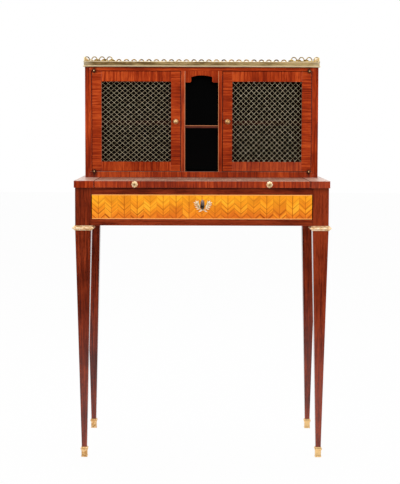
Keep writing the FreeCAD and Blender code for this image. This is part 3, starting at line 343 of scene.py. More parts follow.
def faded_and_sheened_top(node, colours=FADE_AND_SHEEN, dullness=FADED_DULLNESS):
    """A paler and duller upper face, in given colours: fade with painted sheen, and on the end boards a
    painted reflection.
    """
    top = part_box(node)[1].z

    def layer(shader):
        share = shader.z > top - FACE_SLACK
        shader.rough = share * dullness + shader.rough
        shader.paint(share, shader.ramp(shader.tone, WOOD_TONES, colours))
    return layer


def painted_shade_door_edges(low, high):
    """Painted shade: dark brown along the outer edges of a door, where its gaps fall dark."""
    def layer(shader):
        edge = shader.x.margin(low.x, high.x).smaller(shader.z.margin(low.z, high.z))
        shader.paint(edge.near(0.0, EDGE_SHADE_REACH) * EDGE_SHADE_SHARE, PAINTED_SHADE_BROWN)
    return layer


def painted_shade_near_level(level, reach):
    """Painted shade: dark brown that fades out from a level, as under an edge that stands out."""
    def layer(shader):
        shader.paint(shader.z.near(level, reach) ** LEVEL_SHADE_POWER * LEVEL_SHADE_SHARE, PAINTED_SHADE_BROWN)
    return layer


def darker_round_pivots(shader):
    """Darker brown round the pivots of the doors."""
    low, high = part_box("cabinet_pivots")
    beside = abs(shader.x).near(PIVOT_X * MM, PIVOT_DARK_WIDTH)
    front = shader.y.near(PIVOT_Y * MM, PIVOT_DARK_HEIGHT)
    ends = shader.z.near(low.z, PIVOT_DARK_HEIGHT).larger(shader.z.near(high.z, PIVOT_DARK_HEIGHT))
    shader.paint(beside * front * ends, PAINTED_SHADE_BROWN)


def painted_shade_black_below(level):
    """Painted shade: black under a level."""
    def layer(shader):
        shader.paint(shader.z < level, BLACK_STAIN_AND_SHADE)
    return layer


def pale_front_edge(front, axis, place):
    """A pale line along one edge of a front face."""
    def layer(shader):
        beside = abs(shader.axes[axis] - place) < PALE_EDGE_WIDTH
        shader.paint(beside * (shader.y < front + FACE_SLACK), PALE_EDGE)
    return layer


def grain_tone(shader, grain, shift):
    """The tone of wood from streaks, pores and clouds, and the pores alone."""
    streaks = shader.streaks(grain, STREAK_WIDTH, STREAK_LENGTH, shift)
    pores = shader.streaks(grain, PORE_WIDTH, PORE_LENGTH, shift)
    clouds = shader.patches([CLOUD_SIZE] * 3, shift)
    return streaks * STREAK_SHARE + pores * PORE_SHARE + clouds * CLOUD_SHARE, pores


def wood(node, grain, colours, *layers, polished=True):
    """Dress a solid in wood with its grain along some axes, and layers over it."""
    shader = Shader("wood_" + node, BARE_ROUGHNESS, specular=SHEEN if polished else BARE_SHEEN)
    shift = GRAIN_SHIFT * sorted(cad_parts).index(node)
    tone, pores = grain_tone(shader, grain, shift)
    shader.tint(tone + lightness.get(node, 0.0), WOOD_TONES, colours)
    if polished:
        shader.rough = pores * PORE_POLISH + POLISH
    shader.paint(pores.near(PORE_TONE, PORE_REACH) * PORE_DARKNESS, colours[0])
    # Painted grey sheen
    shader.paint(painted_sheen_share.get(node, 0.0), PAINTED_SHEEN_GREY)
    for layer in layers:
        layer(shader)
    dress(node, shader.finish(pores, PORE_RELIEF if polished else BARE_RELIEF))


def metal(name, change=None):
    """Metal with worn patches and a little relief, and another colour near one plane, which on some pieces is
    painted light or shade.
    """
    colours, roughness, patch, relief, metallic = METALS[name]
    shader = Shader(name, roughness, metallic)
    patches = shader.patches([patch * MM] * 3, detail=WEAR_DETAIL)
    shader.tint(patches, METAL_TONES, colours)
    if change:
        axis, place, reach, other = change
        shader.paint(shader.axes[axis].near(place, reach), other)
    shader.rough = patches * ROUGHNESS_SPREAD + (roughness - ROUGHNESS_SPREAD / 2)
    return shader.finish(patches, relief * MM)


# Woods of the carried-over solids by the axes of their grain
ALONG, FRONT_TO_BACK, UPRIGHT = (X,), (Y,), (Z,)
BANDED_RAIL = (Y, Z)
BANDED_STILE = (X, Y)
LEG_NODES = ("front_left_leg", "front_right_leg", "rear_left_leg", "rear_right_leg")
table_woods = {
    UPRIGHT: LEG_NODES,
    FRONT_TO_BACK: ("left_apron", "right_apron"),
    ALONG: ("back_apron", "upper_front_rail", "lower_front_rail"),
}
door_woods = {BANDED_RAIL: ("top_rail", "bottom_rail"), BANDED_STILE: ("hinge_stile", "meeting_stile")}
cabinet_woods = {
    UPRIGHT: ("cabinet_left_side", "cabinet_right_side", "cabinet_back", "door_stops"),
    ALONG: ("cabinet_top", "cabinet_top_rail"),
    BANDED_RAIL: ("niche_apron",),
}
plain_woods = {
    FRONT_TO_BACK: ("drawer_left_side", "drawer_right_side", "drawer_bottom", "drawer_runners",
                    "slide_bearers"),
    ALONG: ("drawer_back", "dust_board"),
}
# The paler colours of the top boards, fade with painted sheen and on the end boards a painted reflection, and
# how much duller they are
top_boards = {
    "left_top_board": (PAINTED_REFLECTION_TOP, END_DULLNESS), "right_top_board": (PAINTED_REFLECTION_TOP, END_DULLNESS),
    "back_top_board": (FADE_AND_SHEEN, FADED_DULLNESS), "slide_board": (FADE_AND_SHEEN, FADED_DULLNESS),
}
# How much lighter or darker than its fellows a solid is
lightness = {
    "front_right_leg": 0.085, "rear_left_leg": -0.035, "lower_front_rail": 0.07, "upper_front_rail": 0.015,
    "left_top_board": -0.07, "right_top_board": -0.02, "slide_board": -0.04, "cabinet_left_side": -0.02,
    "cabinet_right_side": -0.05, "niche_shelf": -0.05, "right_door_bottom_rail": 0.05,
    "right_door_hinge_stile": 0.015, "right_door_meeting_stile": 0.015, "left_door_meeting_stile": 0.015,
    "left_partition": 0.03, "right_partition": -0.04, "niche_apron": -0.03, "left_door_hinge_stile": -0.02,
    "left_door_top_rail": 0.035, "left_door_bottom_rail": 0.035, "right_door_top_rail": 0.015,
}
# How much painted grey sheen, a wash of reflected light, lies on some solids
painted_sheen_share = {
    "right_top_board": 0.06, "right_door_bottom_rail": 0.05, "left_partition": 0.03, "slide_board": 0.025,
    "niche_shelf": 0.075,
}

# Parquetry of the drawer
STRIP_COUNT = 34
STRIPS_PER_CHEVRON = 2
CHEVRON_SLOPE = 0.9
CHEVRON_PERIOD = 16.0 * MM
CHEVRON_LINE = 0.14
FIBRE_WIDTH, FIBRE_LENGTH, FIBRE_RELIEF = 1.2 * MM, 25 * MM, 0.03 * MM
SEAM_WIDTH = 1.5 * MM
PATCH_SIZE = 60 * MM
STRING_WIDTH, STRING_JOINT = 2.2 * MM, 0.4 * MM
STRING_JOINT_SHARE = 0.6
VENEER = 1.0 * MM
CARCASS_SHIFT = (3, 5, 7)
# Shifts that give strips, bands and fibres their own luck
STRIP_SHIFT, BAND_SHIFT, BROAD_SHIFT, FIBRE_SHIFT, UNEVEN_SHIFT = 0.37, 17.3, 9.1, 3.1, 5.7
# How far the bands of a chevron wander: the pace and the size of it, and the luck of the whole chevron
UNEVEN_PACE, UNEVEN_SIZE, CHEVRON_LUCK = 0.6, 2.0, 0.3
# Broad bands for each narrow one
BROAD_PACE = 0.55
# What fibres, bands, broad bands and strips add to the tone, and what is taken off it
FIBRE_SHARE, BAND_SHARE, BROAD_SHARE, STRIP_SHARE = 0.5, 0.16, 0.22, 0.1
TONE_DROP = 0.025
# Redder veneer towards the bottom, and yellower towards the top
LOW_SHARE, LOW_POWER, HIGH_SHARE = 0.6, 2.0, 1.1
# Strength of the dark lines: at the bottom, lost towards the top, and what luck adds to the least of it
LINE_FOOT, LINE_LOSS = 1.3, 0.95
BAND_LINE_LEAST, BAND_LINE_LUCK = 0.4, 0.7
STRIP_LINE_LEAST, STRIP_LINE_LUCK = 0.6, 0.6
SEAM_LEAST, SEAM_LUCK, PEAK_SHARE = 0.25, 0.7, 0.3


def chevron_tone(shader, level, pair, strip_luck, fibres):
    """The tone of the strips, and the luck of each band."""
    band_luck = shader.chance(shader.math("MULTIPLY_ADD", pair, BAND_SHIFT, level // 1))
    broad_luck = shader.chance(shader.math("MULTIPLY_ADD", pair, BROAD_SHIFT, level * BROAD_PACE // 1))
    tone = fibres * FIBRE_SHARE + band_luck * BAND_SHARE + broad_luck * BROAD_SHARE - TONE_DROP
    return tone + strip_luck * STRIP_SHARE, band_luck


def chevron_veneer(shader, run, pitch, rise):
    """Golden strips with bands that rise and fall, and dark lines; gives back the fibres."""
    fold = shader.math("PINGPONG", run, pitch)
    strip = run // pitch
    pair = strip // STRIPS_PER_CHEVRON
    luck = shader.chance(pair)
    strip_luck = shader.chance(strip + STRIP_SHIFT)
    level = (fold * CHEVRON_SLOPE + shader.z) / CHEVRON_PERIOD
    uneven = shader.surface_noise(level * UNEVEN_PACE, pair * UNEVEN_SHIFT, 0.0)
    level = uneven * UNEVEN_SIZE + luck * CHEVRON_LUCK + level
    fibres = shader.surface_noise(level * (CHEVRON_PERIOD / FIBRE_WIDTH), fold / FIBRE_LENGTH,
                                  strip * FIBRE_SHIFT, FIBRE_DETAIL)
    tone, band_luck = chevron_tone(shader, level, pair, strip_luck, fibres)
    shader.tint(tone, METAL_TONES, TULIPWOOD)
    shader.paint((1.0 - rise) ** LOW_POWER * LOW_SHARE, TULIPWOOD_LOW)
    patches = shader.surface_noise(run / PATCH_SIZE, rise, 0.0)
    shader.paint(rise * patches * HIGH_SHARE, TULIPWOOD_HIGH)
    line = shader.math("FRACT", level).margin(0.0, 1.0).near(0.0, CHEVRON_LINE)
    line = line * (LINE_FOOT - rise * LINE_LOSS) * (band_luck * BAND_LINE_LUCK + BAND_LINE_LEAST)
    shader.paint(line * (strip_luck * STRIP_LINE_LUCK + STRIP_LINE_LEAST), JOINT)
    seam = fold.near(pitch, SEAM_WIDTH).larger(fold.near(0.0, SEAM_WIDTH) * PEAK_SHARE)
    shader.paint(seam * (luck * SEAM_LUCK + SEAM_LEAST), JOINT)
    return fibres


def parquetry():
    """Chevrons of golden veneer, with pale stringing above and below."""
    shader = Shader("parquetry", POLISH)
    low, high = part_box("drawer_front")
    rise = (shader.z - low.z) / (high.z - low.z)
    fibres = chevron_veneer(shader, shader.x - low.x, (high.x - low.x) / STRIP_COUNT, rise)
    edge = shader.z.margin(low.z, high.z)
    shader.paint(edge < STRING_WIDTH, STRINGING)
    shader.paint(edge.near(STRING_WIDTH, STRING_JOINT) * STRING_JOINT_SHARE, JOINT)
    carcass = shader.ramp(grain_tone(shader, ALONG, CARCASS_SHIFT)[0], METAL_TONES, MAHOGANY)
    shader.paint(shader.y > low.y + VENEER, carcass)
    shader.rough = fibres * PORE_POLISH + POLISH
    return shader.finish(fibres, FIBRE_RELIEF)


# Brass of the band: painted highlights on its bead and cap, paler ends, and painted light that grows to the
# right
BAND_ROUGHNESS, BAND_METALLIC = 0.42, 0.7
BAND_PATCH = (30 * MM, 30 * MM, 6 * MM)
BAND_RELIEF = 0.08 * MM
# Painted light: how much lighter the band grows towards the right
BAND_LIGHT_TO_RIGHT = 0.3
BEAD_RISE, BEAD_REACH, BEAD_SHARE = 3.2 * MM, 3.6 * MM, 0.8
CAP_DROP, CAP_REACH, CAP_SHARE = 0.4 * MM, 2.8 * MM, 0.82
BAND_END_REACH, BAND_END_SHARE = 30 * MM, 0.6


def band_brass():
    """Brass of the band, with painted highlights on its bead and cap, paler towards its ends, and painted
    light that grows to the right.
    """
    shader = Shader("band_brass", BAND_ROUGHNESS, BAND_METALLIC)
    low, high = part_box("top_band")
    patches = shader.patches(BAND_PATCH, detail=WEAR_DETAIL)
    shader.tint(shader.x * BAND_LIGHT_TO_RIGHT + patches, METAL_TONES, BAND)
    bead = shader.z.near(low.z + BEAD_RISE, BEAD_REACH) * BEAD_SHARE
    cap = shader.z.near(high.z - CAP_DROP, CAP_REACH) * CAP_SHARE
    end = abs(shader.x).near(high.x, BAND_END_REACH) * BAND_END_SHARE
    # Painted highlights on the bead and cap, and paler ends
    shader.paint(bead.larger(cap).larger(end), BAND_HIGHLIGHT)
    return shader.finish(patches, BAND_RELIEF)


wire_brass = metal("wire_brass")
deep_gilt = metal("deep_gilt")

# Dressing of the solids
EDGE_WELD, EDGE_ROUNDING = 0.005 * MM, 0.4 * MM
ROUNDING_SEGMENTS = 2
SHARP_ANGLE = math.radians(40)
LIPPING = 2.5 * MM
SILL = 10.0 * MM
SHELF_LIPPING = 0.6 * MM
# Reach of the painted shade under the top boards and under the band
TOP_SHADE_REACH, BAND_SHADE_REACH = 16 * MM, 5 * MM
SHELF_SHADE = 2.6 * MM
niche_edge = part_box("right_partition")[0].x


def dress(node, material):
    """Give a carried-over solid its material and slightly rounded edges."""
    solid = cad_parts[node]
    solid.data.materials.clear()
    solid.data.materials.append(material)
    weld = solid.modifiers.new("weld", "WELD")
    weld.merge_threshold = EDGE_WELD
    rounding = solid.modifiers.new("rounding", "BEVEL")
    rounding.width = EDGE_ROUNDING
    rounding.segments = ROUNDING_SEGMENTS
    rounding.angle_limit = SHARP_ANGLE


def grains(woods):
    """Every name in a table of woods, with its grain."""
    return [(name, grain) for grain, names in woods.items() for name in names]


def dress_cabinet():
    """Woods of the cabinet, black inside, with pale edges round the niche."""
    inside = black_inside("cabinet_right_side", LIPPING)
    # Painted shade under the band
    under_band = painted_shade_near_level(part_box("top_band")[0].z, BAND_SHADE_REACH)
    for node, grain in grains(cabinet_woods):
        wood(node, grain, CROSSBAND, inside, under_band, darker_round_pivots)
    sill = black_inside("cabinet_right_side", SILL)
    wood("cabinet_bottom", BANDED_RAIL, CROSSBAND, faded_and_sheened_top("cabinet_bottom"), sill, darker_round_pivots)
    for side in (LEFT, RIGHT):
        node = SIDE_NAMES[side] + "_partition"
        edge = pale_front_edge(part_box(node)[0].y, X, side * niche_edge)
        wood(node, UPRIGHT, CROSSBAND, black_inside(node, LIPPING), edge)
        shelf = SIDE_NAMES[side] + "_shelf"
        wood(shelf, ALONG, SHADED, black_inside(shelf, SHELF_LIPPING))
    low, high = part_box("niche_shelf")
    # The lower edge of the shelf front is black painted shade
    wood("niche_shelf", ALONG, MAHOGANY, black_inside("niche_shelf", SHELF_LIPPING),
         painted_shade_black_below(low.z + SHELF_SHADE), pale_front_edge(low.y, Z, high.z))


def dress_doors():
    """Woods of both doors, with painted shade along their outer edges."""
    for side in (LEFT, RIGHT):
        name = SIDE_NAMES[side] + "_door_"
        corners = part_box(name + "hinge_stile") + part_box(name + "meeting_stile")
        low = Vector(min(corner[axis] for corner in corners) for axis in (X, Y, Z))
        high = Vector(max(corner[axis] for corner in corners) for axis in (X, Y, Z))
        for part, grain in grains(door_woods):
            # Painted shade along the door edges, and darker round the pivots
            wood(name + part, grain, CROSSBAND, painted_shade_door_edges(low, high), darker_round_pivots)


def dress_solids():
    """Materials of every solid that stays in view."""
    # Painted shade under the top boards
    under_top = painted_shade_near_level(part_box("left_top_board")[0].z, TOP_SHADE_REACH)
    for node, grain in grains(table_woods):
        wood(node, grain, MAHOGANY, under_top)
    for node, (colours, dullness) in top_boards.items():
        wood(node, BANDED_RAIL, CROSSBAND, faded_and_sheened_top(node, colours, dullness))
    dress_cabinet()
    dress_doors()
    for node, grain in grains(plain_woods):
        wood(node, grain, OAK, polished=False)
    dress("drawer_front", parquetry())
    iron = metal("iron")
    for node in ("lock_case", "lock_bolt"):
        dress(node, iron)


# Plain tools for meshes, in millimetres
ROUNDED_ANGLE = math.radians(30)
SMALL_ROUNDING = 0.3


def ring_of(mesh, points):
    """New points of a mesh."""
    return [mesh.verts.new(point) for point in points]


def bridge(mesh, rings):
    """Faces between rings of the same number of points."""
    for low, high in zip(rings, rings[1:]):
        for corners in zip(low, low[1:] + low[:1], high[1:] + high[:1], high):
            mesh.faces.new(corners)


def loft(mesh, rings):
    """A form through rings of points, closed by a face at each end."""
    bridge(mesh, rings)
    mesh.faces.new(rings[0])
    mesh.faces.new(rings[-1])


def turned(mesh, profile, base, axis, steps, lobes=0, lobe_depths=None):
    """A form turned from radius and length pairs, with lobes cut into some of its rings."""
    side = axis.orthogonal().normalized()
    other = axis.cross(side)
    depths = lobe_depths or [0.0] * len(profile)
    rings = []
    for (radius, length), depth in zip(profile, depths):
        points = []
        for turn in evenly(0, 2 * math.pi, steps)[:-1]:
            reach = radius * (1 - depth * (1 - abs(math.cos(turn * lobes / 2))))
            spoke = side * math.cos(turn) + other * math.sin(turn)
            points.append(base + axis * length + spoke * reach)
        rings.append(ring_of(mesh, points))
    loft(mesh, rings)


def ball(radius, turns, centre=0.0):
    """Radius and length pairs of a ball at some turns from its foot."""
    return [(radius * math.sin(turn), centre - radius * math.cos(turn)) for turn in turns]


def rod(mesh, path, reference, half_width, half_depth, sides):
    """A rod of oval section along a path; its depth is towards the reference direction."""
    last = len(path) - 1
    turns = [2 * math.pi * (side + 0.5) / sides for side in range(sides)]
    rings = []
    for index, point in enumerate(path):
        along = path[min(index + 1, last)] - path[max(index - 1, 0)]
        across = along.cross(reference).normalized()
        deep = across.cross(along).normalized()
        rings.append(ring_of(mesh, [point + across * (half_width * math.cos(turn))
                                    + deep * (half_depth * math.sin(turn)) for turn in turns]))
    loft(mesh, rings)


def round_edges(mesh, rings):
    """Round the sharp edges between rings of points."""
    mesh.normal_update()
    edges = {edge for ring in rings for point in ring for edge in point.link_edges}
    sharp = [edge for edge in edges if edge.calc_face_angle() > ROUNDED_ANGLE]
    bmesh.ops.bevel(mesh, geom=sharp, offset=SMALL_ROUNDING, segments=ROUNDING_SEGMENTS, affect="EDGES",
                    profile=0.5)


def square_moulding(mesh, x, y, sections, steps, ripple=0.0, ripple_count=1):
    """Rings of a moulding round a square, from half widths, levels and shares of the ripple."""
    rings = []
    for half, z, share in sections:
        points = []
        for quarter in range(4):
            turn = Matrix.Rotation(math.pi / 2 * quarter, 3, "Z")
            for along in evenly(-1, 1, steps)[:-1]:
                wave = ripple * share * (abs(math.sin(math.pi * ripple_count * (along + 1) / 2)) - 1)
                points.append(Vector((x, y, z)) + turn @ Vector((along * (half + wave), -half - wave, 0)))
        rings.append(ring_of(mesh, points))
    return rings


def mesh_data(name, mesh, material):
    """A finished mesh with its material."""
    data = bpy.data.meshes.new(name)
    mesh.to_mesh(data)
    mesh.free()
    data.materials.append(material)
    return data


def stand(name, data):
    """A new object in the scene."""
    made = bpy.data.objects.new(name, data)
    bpy.context.scene.collection.objects.link(made)
    return made


def piece(name, mesh, material, body, slot, *nodes, sharp=SHARP_ANGLE):
    """Turn a mesh into a piece that rides on a body and stands for nodes."""
    bmesh.ops.recalc_face_normals(mesh, faces=mesh.faces)
    mesh.transform(Matrix.Scale(MM, 4))
    data = mesh_data(name, mesh, material)
    data.shade_smooth()
    data.set_sharp_from_angle(angle=sharp)
    made = stand(name, data)
    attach(made, body)
    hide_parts(*nodes)


# Leg mounts
# Collar: how far each ring stands out from the leg, its level share and its share of the ripple
COLLAR_RINGS = (
    (-0.6, 0.0, 0), (1.6, 0.0, 0), (2.4, 0.08, 0), (2.4, 0.15, 0), (3.6, 0.2, 0.3), (5.6, 0.28, 1),
    (7.3, 0.38, 1), (8.0, 0.5, 1), (7.3, 0.62, 1), (5.6, 0.73, 1), (3.8, 0.81, 0.3), (3.4, 0.84, 0),
    (3.4, 0.9, 0), (2.4, 0.95, 0), (1.8, 1.0, 0), (-0.6, 1.0, 0),
)
COLLAR_STEPS = 64
COLLAR_RIPPLE, COLLAR_RIPPLES = 0.7, 16
# Sabot: half width and level share
SABOT_RINGS = (
    (8.2, 0.0), (8.6, 0.02), (8.6, 0.09), (8.2, 0.12), (7.9, 0.16), (7.9, 0.64), (8.3, 0.69), (9.4, 0.73),
    (10.0, 0.78), (10.0, 0.86), (9.4, 0.92), (8.2, 0.97), (7.4, 1.0), (5.0, 1.0),
)
SABOT_STEPS = 8
# Reach of the painted light across the sabots
SABOT_LIGHT_REACH = 600 * MM
SABOT_SHARP_ANGLE = math.radians(24)


def leg_axes():
    """The middle of each leg at its head, and half its width."""
    for node in LEG_NODES:
        low, high = box_mm(node)
        yield (low.x + high.x) / 2, (low.y + high.y) / 2, (high.x - low.x) / 2


def leg_collars():
    """Cast collars with a rippled torus between two fillets."""
    low, high = box_mm("leg_collars")
    mesh = bmesh.new()
    for x, y, half in leg_axes():
        sections = [(half + reach, low.z + share * (high.z - low.z), ripple)
                    for reach, share, ripple in COLLAR_RINGS]
        rings = square_moulding(mesh, x, y, sections, COLLAR_STEPS, COLLAR_RIPPLE, COLLAR_RIPPLES)
        bridge(mesh, rings + rings[:1])
    piece("leg_collar_castings", mesh, metal("gilt"), "desk", "gilt", "leg_collars")


def leg_sabots():
    """Square shoes with a flared rim, painted lighter on the right where more light falls."""
    low, high = box_mm("leg_sabots")
    sabot_gilt = metal("sabot_gilt", (X, high.x * MM, SABOT_LIGHT_REACH, LIT_GILT))
    sections = [(half, low.z + share * (high.z - low.z), 0) for half, share in SABOT_RINGS]
    mesh = bmesh.new()
    for x, y, _ in leg_axes():
        loft(mesh, square_moulding(mesh, x, y, sections, SABOT_STEPS))
    piece("leg_sabot_castings", mesh, sabot_gilt, "desk", "gilt", "leg_sabots", sharp=SABOT_SHARP_ANGLE)


# Knobs: radius and length of each ring
ROSETTE = (
    (8.4, 0.0), (9.0, 0.5), (9.0, 1.6), (8.3, 3.0), (7.0, 3.9), (5.4, 3.6), (4.3, 3.9), (4.1, 5.4),
    (4.6, 6.4), (5.9, 7.4), (6.35, 8.8), (6.2, 10.0), (5.4, 11.2), (4.9, 11.9), (4.3, 11.8), (3.6, 12.6),
    (2.4, 13.2), (0.8, 13.5),
)
ROSETTE_LOBES = (0.1, 0.12, 0.13, 0.12, 0.08, 0.03, 0, 0, 0.03, 0.08, 0.1, 0.1, 0.08, 0.03, 0, 0, 0, 0)
ROSETTE_RADIUS = max(radius for radius, length in ROSETTE)
ROSETTE_PETALS = 8
ROSETTE_STEPS = 96
ROSETTE_WEAR = 2.2 * MM
KNOB_FOOT = ((4.6, 0.0), (5.2, 0.4), (5.2, 1.3), (4.7, 1.8), (3.4, 2.1), (3.0, 3.0))
KNOB_RADIUS = 7.6
KNOB_BANDS = 14
KNOB_STEPS = 40
KNOB_NECK_TURN, KNOB_END_TURN = 0.42, 3.05


def slide_knobs():
    """Rosettes with lobed petals round a domed boss."""
    low, high = box_mm("slide_knobs")
    front = box_mm("slide_board")[0].y
    level = (low.z + high.z) / 2
    change = (Y, (front - ROSETTE[-1][1]) * MM, ROSETTE_WEAR, ROSETTE_BOSS)
    mesh = bmesh.new()
    for place in (low.x + ROSETTE_RADIUS, high.x - ROSETTE_RADIUS):
        base = Vector((place, front, level))
        turned(mesh, ROSETTE, base, OUTWARD, ROSETTE_STEPS, ROSETTE_PETALS, ROSETTE_LOBES)
    piece("slide_rosettes", mesh, metal("rosette_gilt", change), "writing_slide", "gilt", "slide_knobs")


def door_knob(side):
    """A ball knob on a moulded foot."""
    door = SIDE_NAMES[side] + "_door"
    low, high = box_mm(door + "_knob")
    front = box_mm("cabinet_right_side")[0].y
    base = Vector(((low.x + high.x) / 2, front, (low.z + high.z) / 2))
    turns = evenly(KNOB_NECK_TURN, KNOB_END_TURN, KNOB_BANDS)
    profile = list(KNOB_FOOT) + ball(KNOB_RADIUS, turns, front - low.y - KNOB_RADIUS)
    mesh = bmesh.new()
    turned(mesh, profile, base, OUTWARD, KNOB_STEPS)
    piece(door + "_ball_knob", mesh, deep_gilt, door, "gilt", door + "_knob")


# Pivots of the doors
# Reach of the painted glint at the front of each pivot ball
PIVOT_GLINT_REACH = 0.4 * MM
PIVOT_DOME = ((4.6, 0.0), (4.6, 0.9), (4.45, 2.0), (4.0, 3.2), (3.2, 4.3), (2.2, 5.1), (1.0, 5.5), (0.3, 5.6))
PIVOT_STEPS = 32
PIVOT_PLATE = 2.0
PIVOT_NECK = 7.0
PIVOT_PLATE_LENGTH = 22.0
PIVOT_PLATE_BACK, PIVOT_PLATE_FRONT = 60.0, 53.0


def pivot_leaf(mesh, side, plane, out):
    """Half a ball on the axis, with its neck and the plate let into the wood."""
    x = side * PIVOT_X
    turned(mesh, PIVOT_DOME, Vector((x, PIVOT_Y, plane)), UP * out, PIVOT_STEPS)
    outer, inner = PIVOT_NECK / 2, -PIVOT_NECK / 2
    end = outer - PIVOT_PLATE_LENGTH
    outline = ((outer, PIVOT_Y), (outer, PIVOT_PLATE_BACK), (end, PIVOT_PLATE_BACK),
               (end, PIVOT_PLATE_FRONT), (inner, PIVOT_PLATE_FRONT), (inner, PIVOT_Y))
    rings = [ring_of(mesh, [Vector((x + side * reach, y, level)) for reach, y in outline])
             for level in (plane, plane + out * PIVOT_PLATE)]
    loft(mesh, rings)
    bmesh.ops.recalc_face_normals(mesh, faces=mesh.faces)
    round_edges(mesh, rings)


def pivots():
    """Pivot leaves of the cabinet and of both doors."""
    low, high = box_mm("cabinet_pivots")
    radius, dome = PIVOT_DOME[0][0], PIVOT_DOME[-1][1]
    # A painted glint at the front of each ball
    dark_brass = metal("pivot_brass", (Y, (PIVOT_Y - radius) * MM, PIVOT_GLINT_REACH, GLINT_BRASS))
    mesh = bmesh.new()
    for side in (LEFT, RIGHT):
        pivot_leaf(mesh, side, low.z + dome, -1)
        pivot_leaf(mesh, side, high.z - dome, 1)
    piece("cabinet_pivot_leaves", mesh, dark_brass, "desk", "dark_brass", "cabinet_pivots")
    for side in (LEFT, RIGHT):
        door = SIDE_NAMES[side] + "_door"
        low, high = box_mm(door + "_pivots")
        mesh = bmesh.new()
        pivot_leaf(mesh, side, low.z, 1)
        pivot_leaf(mesh, side, high.z, -1)
        piece(door + "_pivot_leaves", mesh, dark_brass, door, "dark_brass", door + "_pivots")


# Grilles
# Width and height of a diamond of each mesh
DIAMONDS = {LEFT: (16.1, 13.6), RIGHT: (15.0, 14.9)}
WIRE_RADIUS = 0.42
WIRE_SIDES = 6
WIRE_STEPS, LEAST_WIRE_STEPS = 4, 2
# The shortest wire, in steps of the lattice
SHORTEST_WIRE = 0.3
EDGING = 5.8


def wire_path(centre, diamond, lean, fixed, start, end):
    """A wire that waves over and under the wires that cross it."""
    width, height = diamond
    path = []
    for run in evenly(start, end, max(LEAST_WIRE_STEPS, math.ceil((end - start) * WIRE_STEPS))):
        depth = lean * WIRE_RADIUS * math.cos(math.pi * (run + fixed))
        path.append(centre + Vector((width * (fixed + run) / 2, depth, lean * height * (fixed - run) / 2)))
    return path


def grille(side):
    """Wires woven over and under each other, bound by a flat edging."""
    door = SIDE_NAMES[side] + "_door"
    low, high = box_mm(door + "_grille")
    size = high - low
    wide, tall = ((length - EDGING) / step for length, step in zip((size.x, size.z), DIAMONDS[side]))
    count = int(wide + tall)
    mesh = bmesh.new()
    for lean in (1, -1):
        for fixed in range(-count, count + 1):
            start = max(-wide - fixed, fixed - tall)
            end = min(wide - fixed, fixed + tall)
            if end - start > SHORTEST_WIRE:
                path = wire_path((low + high) / 2, DIAMONDS[side], lean, fixed, start, end)
                rod(mesh, path, DEEP, WIRE_RADIUS, WIRE_RADIUS, WIRE_SIDES)
    rings = []
    for inset, y in ((0, low.y), (0, high.y), (EDGING, high.y), (EDGING, low.y)):
        left, right, bottom, top = low.x + inset, high.x - inset, low.z + inset, high.z - inset
        corners = ((left, bottom), (right, bottom), (right, top), (left, top))
        rings.append(ring_of(mesh, [Vector((x, y, z)) for x, z in corners]))
    bridge(mesh, rings + rings[:1])
    round_edges(mesh, rings)
    piece(door + "_woven_grille", mesh, wire_brass, door, "brass", door + "_grille")


# Gallery
GALLERY_PITCH = 22.3
LOOP_RADIUS = 7.2
LOOP_HALF_WIDTH, BACK_HALF_WIDTH = 1.45, 1.9
LOOP_STEPS, LOOP_SIDES = 22, 8
GALLERY_HALF_DEPTH = 1.1
GALLERY_FOOT = 2.0
FOOT_SIDES = 4
# How far the gallery stands out over the band at the sides
GALLERY_OUT = 3.0
# Reach of the paler brass along the outer side of each side gallery
GALLERY_PALE_REACH = 5.0 * MM
LINK_RADIUS, LINK_BAR = 1.5, 0.8
LINK_BANDS, LINK_STEPS = 8, 10
RETURN_LOOPS, RETURN_PITCH = 4, 21.7
RETURN_RAMP, RAMP_LIFT = 9.0, 1.28
RAMP_STEPS = 6


def gallery_loop(mesh, middle, forward, foot_turn, half_width):
    """A ring, open below, whose ends stand on the foot strip."""
    path = [middle + forward * (LOOP_RADIUS * math.cos(turn)) + UP * (LOOP_RADIUS * math.sin(turn))
            for turn in evenly(foot_turn, math.pi - foot_turn, LOOP_STEPS)]
    rod(mesh, path, forward.cross(UP), half_width, GALLERY_HALF_DEPTH, LOOP_SIDES)


def gallery_link(mesh, middle, forward, pitch):
    """A bar with a ball between two rings."""
    reach = forward * (pitch / 2 - LOOP_RADIUS)
    rod(mesh, [middle - reach, middle, middle + reach], forward.cross(UP), LINK_BAR, LINK_BAR, LOOP_SIDES)
    turned(mesh, ball(LINK_RADIUS, evenly(0, math.pi, LINK_BANDS)[1:-1]), middle, UP, LINK_STEPS)


def gallery_ramp(mesh, edge, forward, level):
    """A strip that falls from the last ring of a return to its foot."""
    path = [edge + forward * (RETURN_RAMP * share) + UP * (level * (1 - share) ** 2 + RAMP_LIFT)
            for share in evenly(0, 1, RAMP_STEPS)]
    rod(mesh, path, forward.cross(UP), LOOP_HALF_WIDTH, GALLERY_HALF_DEPTH, LOOP_SIDES)


